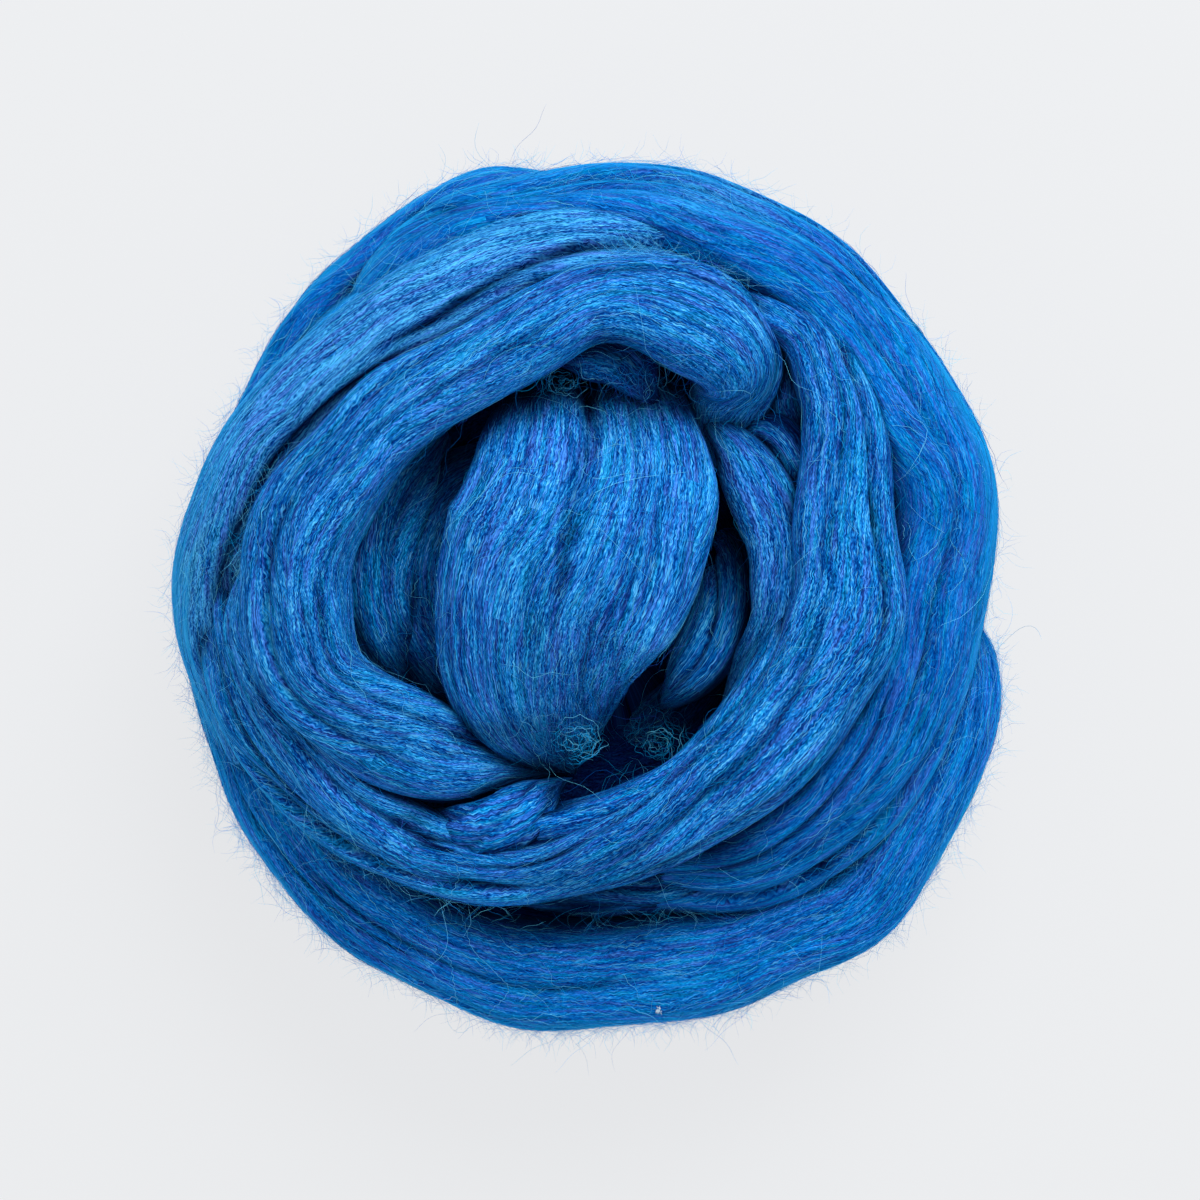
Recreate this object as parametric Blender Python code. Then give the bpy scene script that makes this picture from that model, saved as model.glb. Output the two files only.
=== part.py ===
"""Wool roving: a ball wound from one thick, soft, combed sliver, its loose end tucked over the middle.

The ball lies on a flat surface. +Z is up, +X runs to the right and +Y away from the viewer, seen
from above. The origin is the middle of the flat spot on which the ball rests.

Two pieces are built. wound_turns is the ball itself: a turned heart under the turns that show,
merged into one body. tucked_end is the loose end of the sliver, which comes out from under the
upper loop, lies over the hollow in the middle and is tucked in at its tip.
"""

from math import cos, exp, pi, radians, sin
from typing import Callable, NamedTuple

import bmesh
import bpy
from mathutils import Vector

MM = 0.001  # the tables are in millimetres, the model in metres

# The ring inside the ball that every turn is wound round: turns lie flat against it.
RING_RADIUS = 48.0
RING_HEIGHT = 42.0

SECTION_SIDES = 20  # points round a turn's cross-section
SECTION_STEP = 5.0  # mm between two cross-sections along a turn
ROUNDNESS = 0.85  # 1 gives an ellipse, less gives a fuller section with rounder corners
END_STEPS = 4  # cross-sections in which a turn's blunt end rounds off

MERGE_VOXEL = 2.1  # mm, the grain at which the turns are merged
MERGE_EASING = 3  # rounds of smoothing that soften the merged creases
MERGED_FACES = 7400  # triangles kept for the merged ball
SEAT_GAP = 0.45  # mm of clearance round the tucked end
FLAT_SPOT_SINK = 4.0  # mm by which the ball was pressed flat where it rests

CREASE_DEPTH = 0.5  # share of the end's thickness that its middle crease takes away
CREASE_WIDTH = 4.5  # mm from the crease's middle to its soft shoulder
CREASE_RUN = 1.0  # share of the end's length over which the crease fades out

# The wool that the loose end lies on follows it from below.
BED_DROP = 13.0  # mm from the middle of the end down to the middle of its bed
BED_THICKNESS = 22.0
BED_WIDTH = 0.8  # share of the end's width

SURFACE_CUT = ((-120.0, -120.0, -40.0), (120.0, 120.0, 0.0))  # mm, all that lies below the surface
JOIN_DISTANCE = 0.02  # mm within which the turned outline's points are joined
RIM_ANGLE = 50.0  # degrees at an edge, past which it stays sharp

WOUND_COLOUR = (0.012, 0.155, 0.475)
END_COLOUR = (0.013, 0.178, 0.565)
WOOL_ROUGHNESS = 0.8


class Section(NamedTuple):
    """A cross-section of a turn: its middle, and the turn's size there, all in mm."""

    x: float
    y: float
    height: float
    width: float
    thickness: float


class Ring(NamedTuple):
    """A full turn low on the ball, in mm and degrees: it leans up towards one side."""

    radius: float
    height: float
    lean: float
    leans_towards: float
    width: float
    thickness: float


# The heart's outline from the flat spot, round its outside, to the floor of the hollow.
HEART_OUTLINE = [
    (0.0, -FLAT_SPOT_SINK),
    (30.0, -FLAT_SPOT_SINK),
    (51.0, 6.0),
    (67.0, 20.0),
    (76.0, 38.0),
    (71.0, 54.0),
    (57.0, 66.0),
    (45.0, 64.0),
    (36.0, 52.0),
    (29.0, 45.0),
    (20.0, 57.0),
    (0.0, 61.0),
]
HEART_STEPS = 40

BASE_RINGS = [
    Ring(radius=36.0, height=9.0, lean=2.0, leans_towards=140.0, width=27.0, thickness=17.0),
    Ring(radius=57.0, height=15.0, lean=4.0, leans_towards=20.0, width=30.0, thickness=17.0),
    Ring(radius=71.0, height=26.0, lean=5.0, leans_towards=230.0, width=28.0, thickness=17.0),
    Ring(radius=76.0, height=41.0, lean=9.0, leans_towards=95.0, width=27.0, thickness=18.0),
]
RING_SECTIONS = 16

# Every turn that shows, from the lowest to the highest. A row is a Section.
TURNS = {
    "bottom_outer": [
        (-82, 7, 42, 19, 15),
        (-77, -29, 42, 22, 17),
        (-55, -62, 39, 25, 19),
        (-18, -78, 38, 28, 20),
        (23, -78, 38, 28, 20),
        (58, -62, 42, 25, 19),
        (78, -34, 46, 19, 16),
        (82, -14, 45, 13, 13),
        (76, -1, 40, 9, 11),
    ],
    "top_outer": [
        (-55, 55, 48, 15, 14),
        (-24, 75, 59, 20, 17),
        (12, 79, 63, 22, 18),
        (43, 64, 64, 25, 19),
        (65, 36, 61, 28, 19),
        (71, 3, 57, 28, 19),
        (62, -30, 53, 27, 19),
        (38, -56, 46, 23, 18),
        (21, -64, 40, 16, 14),
    ],
    "outer_left": [
        (22, 68, 63, 14, 14),
        (-11, 66, 71, 20, 17),
        (-46, 50, 68, 21, 18),
        (-69, 26, 61, 20, 18),
        (-79, -1, 52, 19, 17),
        (-73, -32, 46, 16, 15),
        (-53, -59, 36, 12, 12),
    ],
    "main_right": [
        (9, 66, 60, 13, 13),
        (34, 56, 70, 18, 16),
        (48, 28, 74, 21, 18),
        (50, -5, 75, 24, 19),
        (37, -33, 73, 24, 19),
        (12, -52, 69, 22, 18),
        (-16, -58, 65, 17, 16),
        (-43, -51, 61, 14, 14),
        (-64, -34, 59, 13, 14),
        (-75, -9, 57, 12, 14),
        (-74, 17, 50, 9, 11),
    ],
    "left_under": [
        (-64, 15, 63, 10, 12),
        (-68, -9, 67, 12, 13),
        (-56, -34, 67, 13, 13),
        (-33, -47, 65, 12, 12),
        (-5, -51, 56, 8, 10),
    ],
    "inner_lip": [
        (39, 40, 60, 9, 10),
        (46, 11, 67, 11, 12),
        (38, -16, 69, 13, 13),
        (15, -38, 68, 14, 14),
        (-10, -47, 65, 13, 13),
        (-33, -43, 54, 9, 10),
    ],
    "right_deep": [
        (31, 20, 40, 12, 11),
        (29, 5, 47, 16, 13),
        (22, -10, 49, 18, 13),
        (17, -22, 45, 16, 12),
        (11, -31, 35, 12, 10),
    ],
    "left_deep": [
        (-28, 33, 40, 11, 10),
        (-37, 20, 49, 14, 13),
        (-42, 5, 52, 15, 13),
        (-42, -9, 50, 14, 12),
        (-35, -23, 40, 11, 10),
    ],
    "right_inner": [
        (22, 35, 57, 6, 8),
        (31, 27, 66, 12, 12),
        (37, 14, 69, 14, 13),
        (38, 3, 68, 14, 13),
        (33, -9, 63, 14, 12),
        (25, -18, 54, 12, 11),
    ],
    "knob": [
        (31, 33, 58, 5, 7),
        (37, 32, 66, 8, 9),
        (42, 26, 68, 8, 9),
        (43, 16, 62, 6, 8),
    ],
    "upper_loop": [
        (25, 31, 48, 9, 8),
        (30, 41, 60, 14, 11),
        (29, 51, 72, 19, 14),
        (18, 57, 79, 22, 15),
        (2, 54, 82, 24, 16),
        (-12, 48, 83, 24, 17),
        (-42, 30, 82, 23, 18),
        (-59, 7, 78, 23, 18),
        (-56, -17, 74, 22, 16),
        (-34, -31, 67, 18, 13),
        (-9, -37, 50, 6, 7),
    ],
}

# The loose end, from where it leaves the ball under the upper loop to its tucked tip.
LOOSE_END = [
    (2, 54, 44, 22, 9),
    (2, 46, 56, 29, 12),
    (3, 39, 66, 38, 14),
    (2, 30, 75, 46, 15),
    (-1, 19, 79, 50, 16),
    (-6, 9, 80, 53, 16),
    (-10, -1, 78, 51, 16),
    (-12, -11, 74, 45, 15),
    (-11, -21, 68, 36, 13),
    (-8, -30, 61, 23, 10),
    (-5, -36, 54, 10, 6),
]


def clear_scene() -> None:
    """Remove every object of the scene that the file starts with."""
    for obj in list(bpy.data.objects):
        bpy.data.objects.remove(obj, do_unlink=True)


def wool(name: str, colour: tuple[float, float, float]) -> bpy.types.Material:
    """Make a plain, dull wool material of one colour."""
    material = bpy.data.materials.new(name)
    material.use_nodes = True
    shader = material.node_tree.nodes["Principled BSDF"]
    shader.inputs["Base Color"].default_value = (*colour, 1.0)
    shader.inputs["Roughness"].default_value = WOOL_ROUGHNESS
    shader.inputs["Metallic"].default_value = 0.0
    return material


def smooth_route(rows: list[tuple], step: float) -> list[list[float]]:
    """Run a smooth curve through the rows, with a point about every step mm.

    Args:
        rows: The sections in order; the first three columns are the place.
        step: The distance in mm between two points of the result.

    Returns:
        The rows of the curve, each with the same columns as the rows given.
    """
    ends = [rows[0], *rows, rows[-1]]
    route = []
    for before, start, end, after in zip(ends, ends[1:], ends[2:], ends[3:]):
        distance = (Vector(end[:3]) - Vector(start[:3])).length
        pieces = max(1, round(distance / step))
        for piece in range(pieces):
            t = piece / pieces
            route.append([
                0.5 * (
                    2 * b
                    + (c - a) * t
                    + (2 * a - 5 * b + 4 * c - d) * t**2
                    + (3 * b - a - 3 * c + d) * t**3
                )
                for a, b, c, d in zip(before, start, end, after)
            ])
    route.append(list(rows[-1]))
    return route


def away_from_ring(place: Vector) -> Vector:
    """Give the direction from the ring inside the ball to a place on a turn."""
    flat = Vector((place.x, place.y, 0.0))
    nearest = flat.normalized() * RING_RADIUS
    nearest.z = RING_HEIGHT
    return (place - nearest).normalized()


def straight_up(_place: Vector) -> Vector:
    """Give the direction in which the loose end's upper face looks."""
    return Vector((0.0, 0.0, 1.0))


def section_outline(width: float, thickness: float, crease: float) -> list[tuple[float, float]]:
    """Give the points round one cross-section, across the turn and out of it, in mm.

    Args:
        width: The section's size across the turn.
        thickness: The section's size out of the turn's flat side.
        crease: The share of the thickness that a crease along the middle takes away.

    Returns:
        The points in order, each as (across, out).
    """
    outline = []
    for side in range(SECTION_SIDES):
        angle = 2 * pi * side / SECTION_SIDES
        across = abs(cos(angle)) ** ROUNDNESS * (1 if cos(angle) > 0 else -1) * width / 2
        out = abs(sin(angle)) ** ROUNDNESS * (1 if sin(angle) > 0 else -1) * thickness / 2
        if out > 0:
            out -= thickness * crease * exp(-((across / CREASE_WIDTH) ** 2))
        outline.append((across, out))
    return outline


def end_rounding(index: int, count: int) -> float:
    """Give the share of its size that a section near either end of a turn keeps."""
    from_end = min(index, count - 1 - index)
    if from_end >= END_STEPS:
        return 1.0
    return sin(radians(90.0 * (from_end + 1) / (END_STEPS + 1)))


def sweep(
    mesh: bmesh.types.BMesh,
    rows: list[tuple],
    facing: Callable[[Vector], Vector],
    extra: float = 0.0,
    creased: bool = False,
) -> None:
    """Add one turn to a mesh: a closed tube through its cross-sections.

    Args:
        mesh: The mesh that gets the tube.
        rows: The turn's sections, as Section lists them.
        facing: Gives the outward direction of the turn's flat side at a place.
        extra: What is added all round the turn, in mm.
        creased: Whether a soft crease runs along the middle of the outward side.
    """
    route = [Section(*row) for row in smooth_route(rows, SECTION_STEP)]
    places = [Vector((row.x, row.y, row.height)) for row in route]
    places[0] += (places[0] - places[1]).normalized() * extra
    places[-1] += (places[-1] - places[-2]).normalized() * extra
    loops = []
    for index, row in enumerate(route):
        ahead = places[min(index + 1, len(places) - 1)] - places[max(index - 1, 0)]
        across = ahead.cross(facing(places[index])).normalized()
        out = across.cross(ahead).normalized()
        kept = end_rounding(index, len(route))
        crease = CREASE_DEPTH * max(0.0, 1.0 - index / len(route) / CREASE_RUN) if creased else 0.0
        width = row.width * kept + 2 * extra
        outline = section_outline(width, row.thickness * kept + 2 * extra, crease)
        loops.append([
            mesh.verts.new((places[index] + across * a + out * b) * MM)
            for a, b in outline
        ])
    for near, far in zip(loops, loops[1:]):
        for side in range(SECTION_SIDES):
            after = (side + 1) % SECTION_SIDES
            mesh.faces.new((near[side], far[side], far[after], near[after]))
    mesh.faces.new(loops[0])
    mesh.faces.new(reversed(loops[-1]))
    bmesh.ops.recalc_face_normals(mesh, faces=mesh.faces)


def ring_rows(ring: Ring) -> list[tuple]:
    """Give the sections of one full ring, whose last rows overlap its first."""
    rows = []
    for index in range(RING_SECTIONS + 2):
        angle = 2 * pi * index / RING_SECTIONS
        height = ring.height + ring.lean * cos(angle - radians(ring.leans_towards))
        rows.append((
            ring.radius * cos(angle),
            ring.radius * sin(angle),
            height,
            ring.width,
            ring.thickness,
        ))
    return rows


def bed_rows() -> list[tuple]:
    """Give the sections of the wool under the loose end, which it rests on."""
    return [
        (x, y, height - BED_DROP, width * BED_WIDTH, BED_THICKNESS)
        for x, y, height, width, _thickness in LOOSE_END
    ]


def add_heart(mesh: bmesh.types.BMesh) -> None:
    """Add the turned heart of the ball, which fills what lies under the turns that show."""
    profile = [
        mesh.verts.new((radius * MM, 0.0, height * MM)) for radius, height in HEART_OUTLINE
    ]
    edges = [mesh.edges.new(pair) for pair in zip(profile, profile[1:])]
    bmesh.ops.spin(
        mesh,
        geom=profile + edges,
        axis=(0.0, 0.0, 1.0),
        cent=(0.0, 0.0, 0.0),
        angle=2 * pi,
        steps=HEART_STEPS,
    )
    bmesh.ops.remove_doubles(mesh, verts=mesh.verts, dist=JOIN_DISTANCE * MM)
    bmesh.ops.recalc_face_normals(mesh, faces=mesh.faces)


def new_object(name: str, mesh: bmesh.types.BMesh) -> bpy.types.Object:
    """Turn a finished mesh into an object of the scene."""
    data = bpy.data.meshes.new(name)
    mesh.to_mesh(data)
    mesh.free()
    obj = bpy.data.objects.new(name, data)
    bpy.context.scene.collection.objects.link(obj)
    return obj


def settled_mesh(obj: bpy.types.Object) -> bpy.types.Mesh:
    """Give a copy of the object's mesh with all its modifiers applied."""
    graph = bpy.context.evaluated_depsgraph_get()
    return bpy.data.meshes.new_from_object(obj.evaluated_get(graph))


def keep_outer_skin(data: bpy.types.Mesh) -> None:
    """Delete the walls of hollows that the merged turns closed in, and keep the outer skin."""
    mesh = bmesh.new()
    mesh.from_mesh(data)
    left = set(mesh.verts)
    islands = []
    while left:
        island = {left.pop()}
        edge_of_island = list(island)
        while edge_of_island:
            vert = edge_of_island.pop()
            for edge in vert.link_edges:
                other = edge.other_vert(vert)
                if other in left:
                    left.remove(other)
                    island.add(other)
                    edge_of_island.append(other)
        islands.append(island)
    islands.sort(key=len)
    for island in islands[:-1]:
        bmesh.ops.delete(mesh, geom=list(island), context="VERTS")
    mesh.to_mesh(data)
    mesh.free()


def box_cutter(name: str, low: tuple, high: tuple) -> bpy.types.Object:
    """Make a hidden box between two corners, in mm, for a cut."""
    mesh = bmesh.new()
    bmesh.ops.create_cube(mesh, size=1.0)
    size = Vector(high) - Vector(low)
    bmesh.ops.scale(mesh, vec=size * MM, verts=mesh.verts)
    bmesh.ops.translate(mesh, vec=(Vector(high) + Vector(low)) / 2 * MM, verts=mesh.verts)
    obj = new_object(name, mesh)
    hide_guide(obj)
    return obj


def hide_guide(obj: bpy.types.Object) -> None:
    """Keep a cutter out of the model itself."""
    obj.hide_render = True
    obj.display_type = "WIRE"


def cut_away(obj: bpy.types.Object, cutter: bpy.types.Object) -> None:
    """Cut one object's shape out of another."""
    cut = obj.modifiers.new(cutter.name, "BOOLEAN")
    cut.operation = "DIFFERENCE"
    cut.solver = "EXACT"
    cut.object = cutter


def merged_turns() -> bpy.types.Mesh:
    """Wind every turn round the heart, merge them all and keep one coarse skin."""
    mesh = bmesh.new()
    add_heart(mesh)
    for ring in BASE_RINGS:
        sweep(mesh, ring_rows(ring), away_from_ring)
    for rows in TURNS.values():
        sweep(mesh, rows, away_from_ring)
    sweep(mesh, bed_rows(), straight_up)
    wound = new_object("turns_before_merging", mesh)
    merge = wound.modifiers.new("merge", "REMESH")
    merge.mode = "VOXEL"
    merge.voxel_size = MERGE_VOXEL * MM
    ease = wound.modifiers.new("ease", "SMOOTH")
    ease.iterations = MERGE_EASING
    fine = settled_mesh(wound)
    keep_outer_skin(fine)
    bpy.data.objects.remove(wound, do_unlink=True)
    return fine


def build_wound_turns() -> bpy.types.Object:
    """Build the ball: the merged turns, thinned out, with its flat spot and the end's seat."""
    fine = merged_turns()
    obj = bpy.data.objects.new("wound_turns", fine)
    bpy.context.scene.collection.objects.link(obj)
    triangles = sum(len(face.vertices) - 2 for face in fine.polygons)
    thin = obj.modifiers.new("thin_out", "DECIMATE")
    thin.ratio = MERGED_FACES / triangles
    below = box_cutter("below_surface", *SURFACE_CUT)
    cut_away(obj, below)
    mesh = bmesh.new()
    sweep(mesh, LOOSE_END, straight_up, extra=SEAT_GAP)
    seat = new_object("end_seat", mesh)
    hide_guide(seat)
    cut_away(obj, seat)
    obj.data.materials.append(wool("wound_wool", WOUND_COLOUR))
    return obj


def build_tucked_end() -> bpy.types.Object:
    """Build the loose end as one flattened, tapering tongue with a crease along it."""
    mesh = bmesh.new()
    sweep(mesh, LOOSE_END, straight_up, creased=True)
    obj = new_object("tucked_end", mesh)
    obj.data.materials.append(wool("end_wool", END_COLOUR))
    return obj


def shade_round(obj: bpy.types.Object) -> None:
    """Shade a soft piece smooth, and keep the rim of its flat spot sharp."""
    obj.data.shade_smooth()
    obj.data.set_sharp_from_angle(angle=radians(RIM_ANGLE))


def centre_on_origin(ball: bpy.types.Object) -> None:
    """Move everything, cutters too, so that the ball's box is centred over the origin."""
    settled = settled_mesh(ball)
    for axis in (0, 1):
        reach = [vert.co[axis] for vert in settled.vertices]
        middle = (min(reach) + max(reach)) / 2
        for obj in bpy.data.objects:
            obj.location[axis] -= middle


def main() -> None:
    """Build the ball and its loose end, standing on the surface."""
    clear_scene()
    ball = build_wound_turns()
    end = build_tucked_end()
    for piece in (ball, end):
        shade_round(piece)
    centre_on_origin(ball)


main()
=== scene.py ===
"""The looks of a ball of blue wool roving, lying on a pale floor and seen from straight above.

The ball is wound from one thick sliver of combed wool. Each turn that shows is a swept band with
lengthwise creases and fine ridges, laid round a turned heart. Thousands of fine fibres lie on the
bands, and loose ones stand off them. The sliver's loose end lies folded over the pit in the
ball's middle. Shade is painted into the wool's colour in its creases and where it sees little
of the sky.
"""

import logging
import math
from dataclasses import dataclass, field, replace
from enum import Enum
from typing import NamedTuple

import bpy
import numpy as np
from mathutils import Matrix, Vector
from mathutils.bvhtree import BVHTree

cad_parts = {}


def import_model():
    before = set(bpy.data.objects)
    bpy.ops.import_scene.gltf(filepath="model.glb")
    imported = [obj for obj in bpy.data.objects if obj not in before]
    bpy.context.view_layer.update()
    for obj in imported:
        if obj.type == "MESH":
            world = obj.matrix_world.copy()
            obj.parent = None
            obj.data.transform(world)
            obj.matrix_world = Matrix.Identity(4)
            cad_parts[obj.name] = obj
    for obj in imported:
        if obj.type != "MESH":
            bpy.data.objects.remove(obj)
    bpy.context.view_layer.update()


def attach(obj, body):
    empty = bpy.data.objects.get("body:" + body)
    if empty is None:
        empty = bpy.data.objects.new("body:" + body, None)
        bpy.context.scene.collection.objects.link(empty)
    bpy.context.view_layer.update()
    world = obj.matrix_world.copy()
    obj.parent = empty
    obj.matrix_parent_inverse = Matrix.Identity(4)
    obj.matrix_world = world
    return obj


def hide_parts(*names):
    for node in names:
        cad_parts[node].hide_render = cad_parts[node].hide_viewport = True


MM = 0.001  # the tables are in millimetres, the scene in metres
FIBRE_MAP = "fibre"  # the UV map that gives each spot its place along and across its band, in mm
BAKE_MAP = "OFBake"  # the same places, as shares of the band's length and girth
PAINTED_SHADE = "painted_shade"  # the shade painted on a spot, in creases and where little sky is seen
BLOOM = "bloom"  # the attribute that says how much paler a band's lighter streaks are, in places a painted highlight
RIM = "rim"  # the attribute that says how near the ball's outline a spot lies, for the sheen painted there
SOFT = "soft"  # the attribute that says how evenly coloured a band's wool is
TINT_AND_SHADE = "tint_and_shade"  # the attribute with a loose fibre's own colour, darkened by painted shade on laid fibres

FLOOR_GAP = 0.1  # mm from the floor to the lowest turns' flattened undersides
BAND_SHIFT = 211.0  # mm between the fibre patterns of one band and the next
LOCK_SHIFT = 41.0  # mm between those of one lock and the next
OPEN_DARK = 0.02  # the share of the sky seen, below which the shade painted on wool is darkest
OPEN_LIGHT = 0.68  # the share of the sky seen, above which no shade is painted on it
CREASE_SHADE = 0.75  # how dark the shade painted at the bottom of a crease is, from 0 to 1
DEEPEST_SHADE_COLOUR = (0.01, 0.045, 0.10)  # what is left of a colour's parts under the darkest painted shade
RIM_FROM, RIM_FULL = 71.0, 84.0  # mm from the ball's middle to where its rim starts and is full

SIGHT_LINES = 18  # the sight lines of each point whose view of the sky is measured
SIGHT_EVERY = 4  # of so many rows and columns one is measured, and the rest are read between them
SIGHT_START = 0.5  # mm off the surface
SIGHT_REACH = 45.0  # mm past which nothing shades
WALL_LIGHT = 0.8  # the light of a sight line that passes below the level, next to one to the sky
BOUNCED_LIGHT = 0.55  # the light of a sight line that only just meets wool
LEAST_LIT = 0.15  # the share of its own colour that a fibre keeps in the deepest shade

FIBRE_SIDES = 3
FIBRES_A_PIECE = 2300
FIBRE_FLOOR = 0.3  # mm above the floor that the lowest fibres keep
DRAPE_FLOOR = 6.0  # mm above the floor, below which no fibre is draped
LONE_FLOOR = 36.0  # mm above the floor that the lone fibres keep
CRIMP_LENGTH = 1.6  # mm from wave to wave of a lone fibre

log = logging.getLogger("wool")

Array = np.ndarray
Colour = tuple[float, float, float]
Material = bpy.types.Material
Piece = bpy.types.Object
Range = tuple[float, float]
Socket = bpy.types.NodeSocket


class Section(NamedTuple):
    """A cross-section of a band: its middle, and the band's size there, all in mm."""

    x: float
    y: float
    height: float
    width: float
    thickness: float


class Ring(NamedTuple):
    """A full turn low on the ball, in mm and degrees: it leans up towards one side."""

    radius: float
    height: float
    lean: float
    leans_towards: float
    width: float
    thickness: float


class Crease(NamedTuple):
    """A fold along a band's outward face, or the edge of a lock that lies over the next one.

    It runs from across_start to across_end, which are places from -1 at one edge of the band to 1
    at the other, while it goes from start to end, which are shares of the band's length. depth
    and width are in mm. overlap is 0 for an even fold. At 1 the wool on the side of -1 lies on
    top, and at -1 the wool on the side of 1 does.
    """

    across_start: float
    across_end: float
    depth: float
    width: float
    start: float
    end: float
    overlap: float = 0.0

    def two_sides(self, steep: float, even: float, flat: float) -> Range:
        """Pick the reach of the crease on its two sides: the wool on top falls steeply into it."""
        if self.overlap == 0:
            return even, even
        return (steep, flat) if self.overlap > 0 else (flat, steep)


class Spot(NamedTuple):
    """A soft-edged spot seen from above: its middle and reach in mm, and its strength."""

    x: float
    y: float
    reach_x: float
    reach_y: float
    strength: float

    def at(self, points: Array) -> Array:
        """Give the spot's strength at some points, in mm."""
        off_x = (points[..., 0] - self.x) / self.reach_x
        off_y = (points[..., 1] - self.y) / self.reach_y
        return self.strength * np.exp(-(off_x**2 + off_y**2))


class Facing(Enum):
    """Which way the flat side of a band looks."""

    AWAY_FROM_RING = "away from the ring inside the ball"
    UP = "straight up"


class Waver(Enum):
    """A band's slow unevenness: the length of its waves in mm, and its track in the noise."""

    ASIDE = (16.0, 0.0)
    OUT = (19.0, 9.0)
    WIDTH = (14.0, 21.0)
    THICKNESS = (17.0, 33.0)
    RIDGES = (40.0, 55.0)


class Shade(Enum):
    """The colours of dyed fibre that show in the sliver, as linear red, green and blue. Two also
    serve as painted light: FROST as painted glints, and a pale blue as the sheen painted near the
    ball's outline.
    """

    NIGHT = (0.000, 0.026, 0.185)
    ROYAL = (0.000, 0.098, 0.430)
    SKY = (0.006, 0.250, 0.760)
    TEAL = (0.000, 0.250, 0.540)
    VIOLET = (0.045, 0.130, 0.640)
    FROST = (0.135, 0.610, 1.000)
    # This colour also serves as the sheen painted near the ball's outline.
    HAZE_AND_SHEEN = (0.008, 0.380, 0.840)
    LILAC = (0.150, 0.260, 0.900)
    LINT = (0.650, 0.800, 0.950)


class SoftNoise:
    """Smooth random heights over a plane, the same ones on each run."""

    def __init__(self, seed: int, size: int = 256) -> None:
        """Draw the lattice of heights.

        Args:
            seed: Which of the possible planes to draw.
            size: The number of lattice points each way, after which the heights repeat.
        """
        self.size = size
        self.lattice = np.random.default_rng(seed).uniform(-1.0, 1.0, (size, size))

    def at(self, along: Array, across: Array) -> Array:
        """Read the heights at some places.

        Args:
            along: The places along the plane, in lattice steps.
            across: The places across it, in lattice steps.

        Returns:
            A height from -1 to 1 for each place.
        """
        along, across = np.broadcast_arrays(along, across)
        i = np.floor(along).astype(int)
        j = np.floor(across).astype(int)
        f = along - i
        g = across - j
        f = f * f * (3 - 2 * f)
        g = g * g * (3 - 2 * g)
        i0, i1, j0, j1 = i % self.size, (i + 1) % self.size, j % self.size, (j + 1) % self.size
        near = self.lattice[i0, j0] * (1 - g) + self.lattice[i0, j1] * g
        far = self.lattice[i1, j0] * (1 - g) + self.lattice[i1, j1] * g
        return near * (1 - f) + far * f

    def line(self, along: Array, step: float, track: float) -> Array:
        """Read the heights along one track of the plane, whose lattice steps are step long."""
        return self.at(along / step, np.array(track))


def unit(vectors: Array) -> Array:
    """Scale vectors to a length of one."""
    return vectors / np.maximum(np.linalg.norm(vectors, axis=-1, keepdims=True), 1e-12)


def smooth_route(rows: list[tuple], step: float) -> Array:
    """Run a smooth curve through rows of numbers.

    Args:
        rows: The rows in order; the first three columns are a place in mm.
        step: The distance in mm between two points of the result.

    Returns:
        An array with the same columns as the rows, a row for each point.
    """
    table = np.array([rows[0], *rows, rows[-1]], float)
    route = []
    for before, start, end, after in zip(table, table[1:], table[2:], table[3:]):
        pieces = max(1, round(np.linalg.norm(end[:3] - start[:3]) / step))
        for t in np.arange(pieces) / pieces:
            route.append(
                0.5
                * (
                    2 * start
                    + (end - before) * t
                    + (2 * before - 5 * start + 4 * end - after) * t**2
                    + (3 * start - before - 3 * end + after) * t**3
                )
            )
    route.append(table[-1])
    return np.array(route)


def smooth_share(values: Array, low: float, high: float) -> Array:
    """Give how far values are from low to high, eased at both ends, from 0 to 1."""
    share = np.clip((values - low) / (high - low), 0.0, 1.0)
    return share * share * (3 - 2 * share)


def mesh_piece(name: str, points: Array, faces: list, material: Material) -> Piece:
    """Make an object of the scene from points and faces.

    Args:
        name: The piece's name.
        points: Its points, in mm.
        faces: Its faces, as lists of point numbers.
        material: What it is dressed in.

    Returns:
        The new object, smoothly shaded.
    """
    data = bpy.data.meshes.new(name)
    data.from_pydata((points * MM).tolist(), [], faces)
    data.shade_smooth()
    data.materials.append(material)
    piece = bpy.data.objects.new(name, data)
    bpy.context.scene.collection.objects.link(piece)
    return piece


def add_map(piece: Piece, name: str, first: Array, second: Array) -> None:
    """Give a piece a UV map with two numbers for each corner of its faces."""
    layer = piece.data.uv_layers.new(name=name)
    layer.data.foreach_set("uv", np.stack([first, second], -1).ravel())


def add_numbers(piece: Piece, name: str, values: Array) -> None:
    """Store a number for each point of a piece."""
    layer = piece.data.attributes.new(name, "FLOAT", "POINT")
    layer.data.foreach_set("value", np.asarray(values, np.float32))


def signed_volume(piece: Piece) -> float:
    """Give a closed mesh's volume, which is below zero when its faces point in."""
    piece.data.calc_loop_triangles()
    corners = np.zeros(len(piece.data.loop_triangles) * 3, np.int32)
    piece.data.loop_triangles.foreach_get("vertices", corners)
    points = np.zeros(len(piece.data.vertices) * 3)
    piece.data.vertices.foreach_get("co", points)
    a, b, c = points.reshape(-1, 3)[corners.reshape(-1, 3)].transpose(1, 0, 2)
    return float((a * np.cross(b, c)).sum() / 6)


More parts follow.
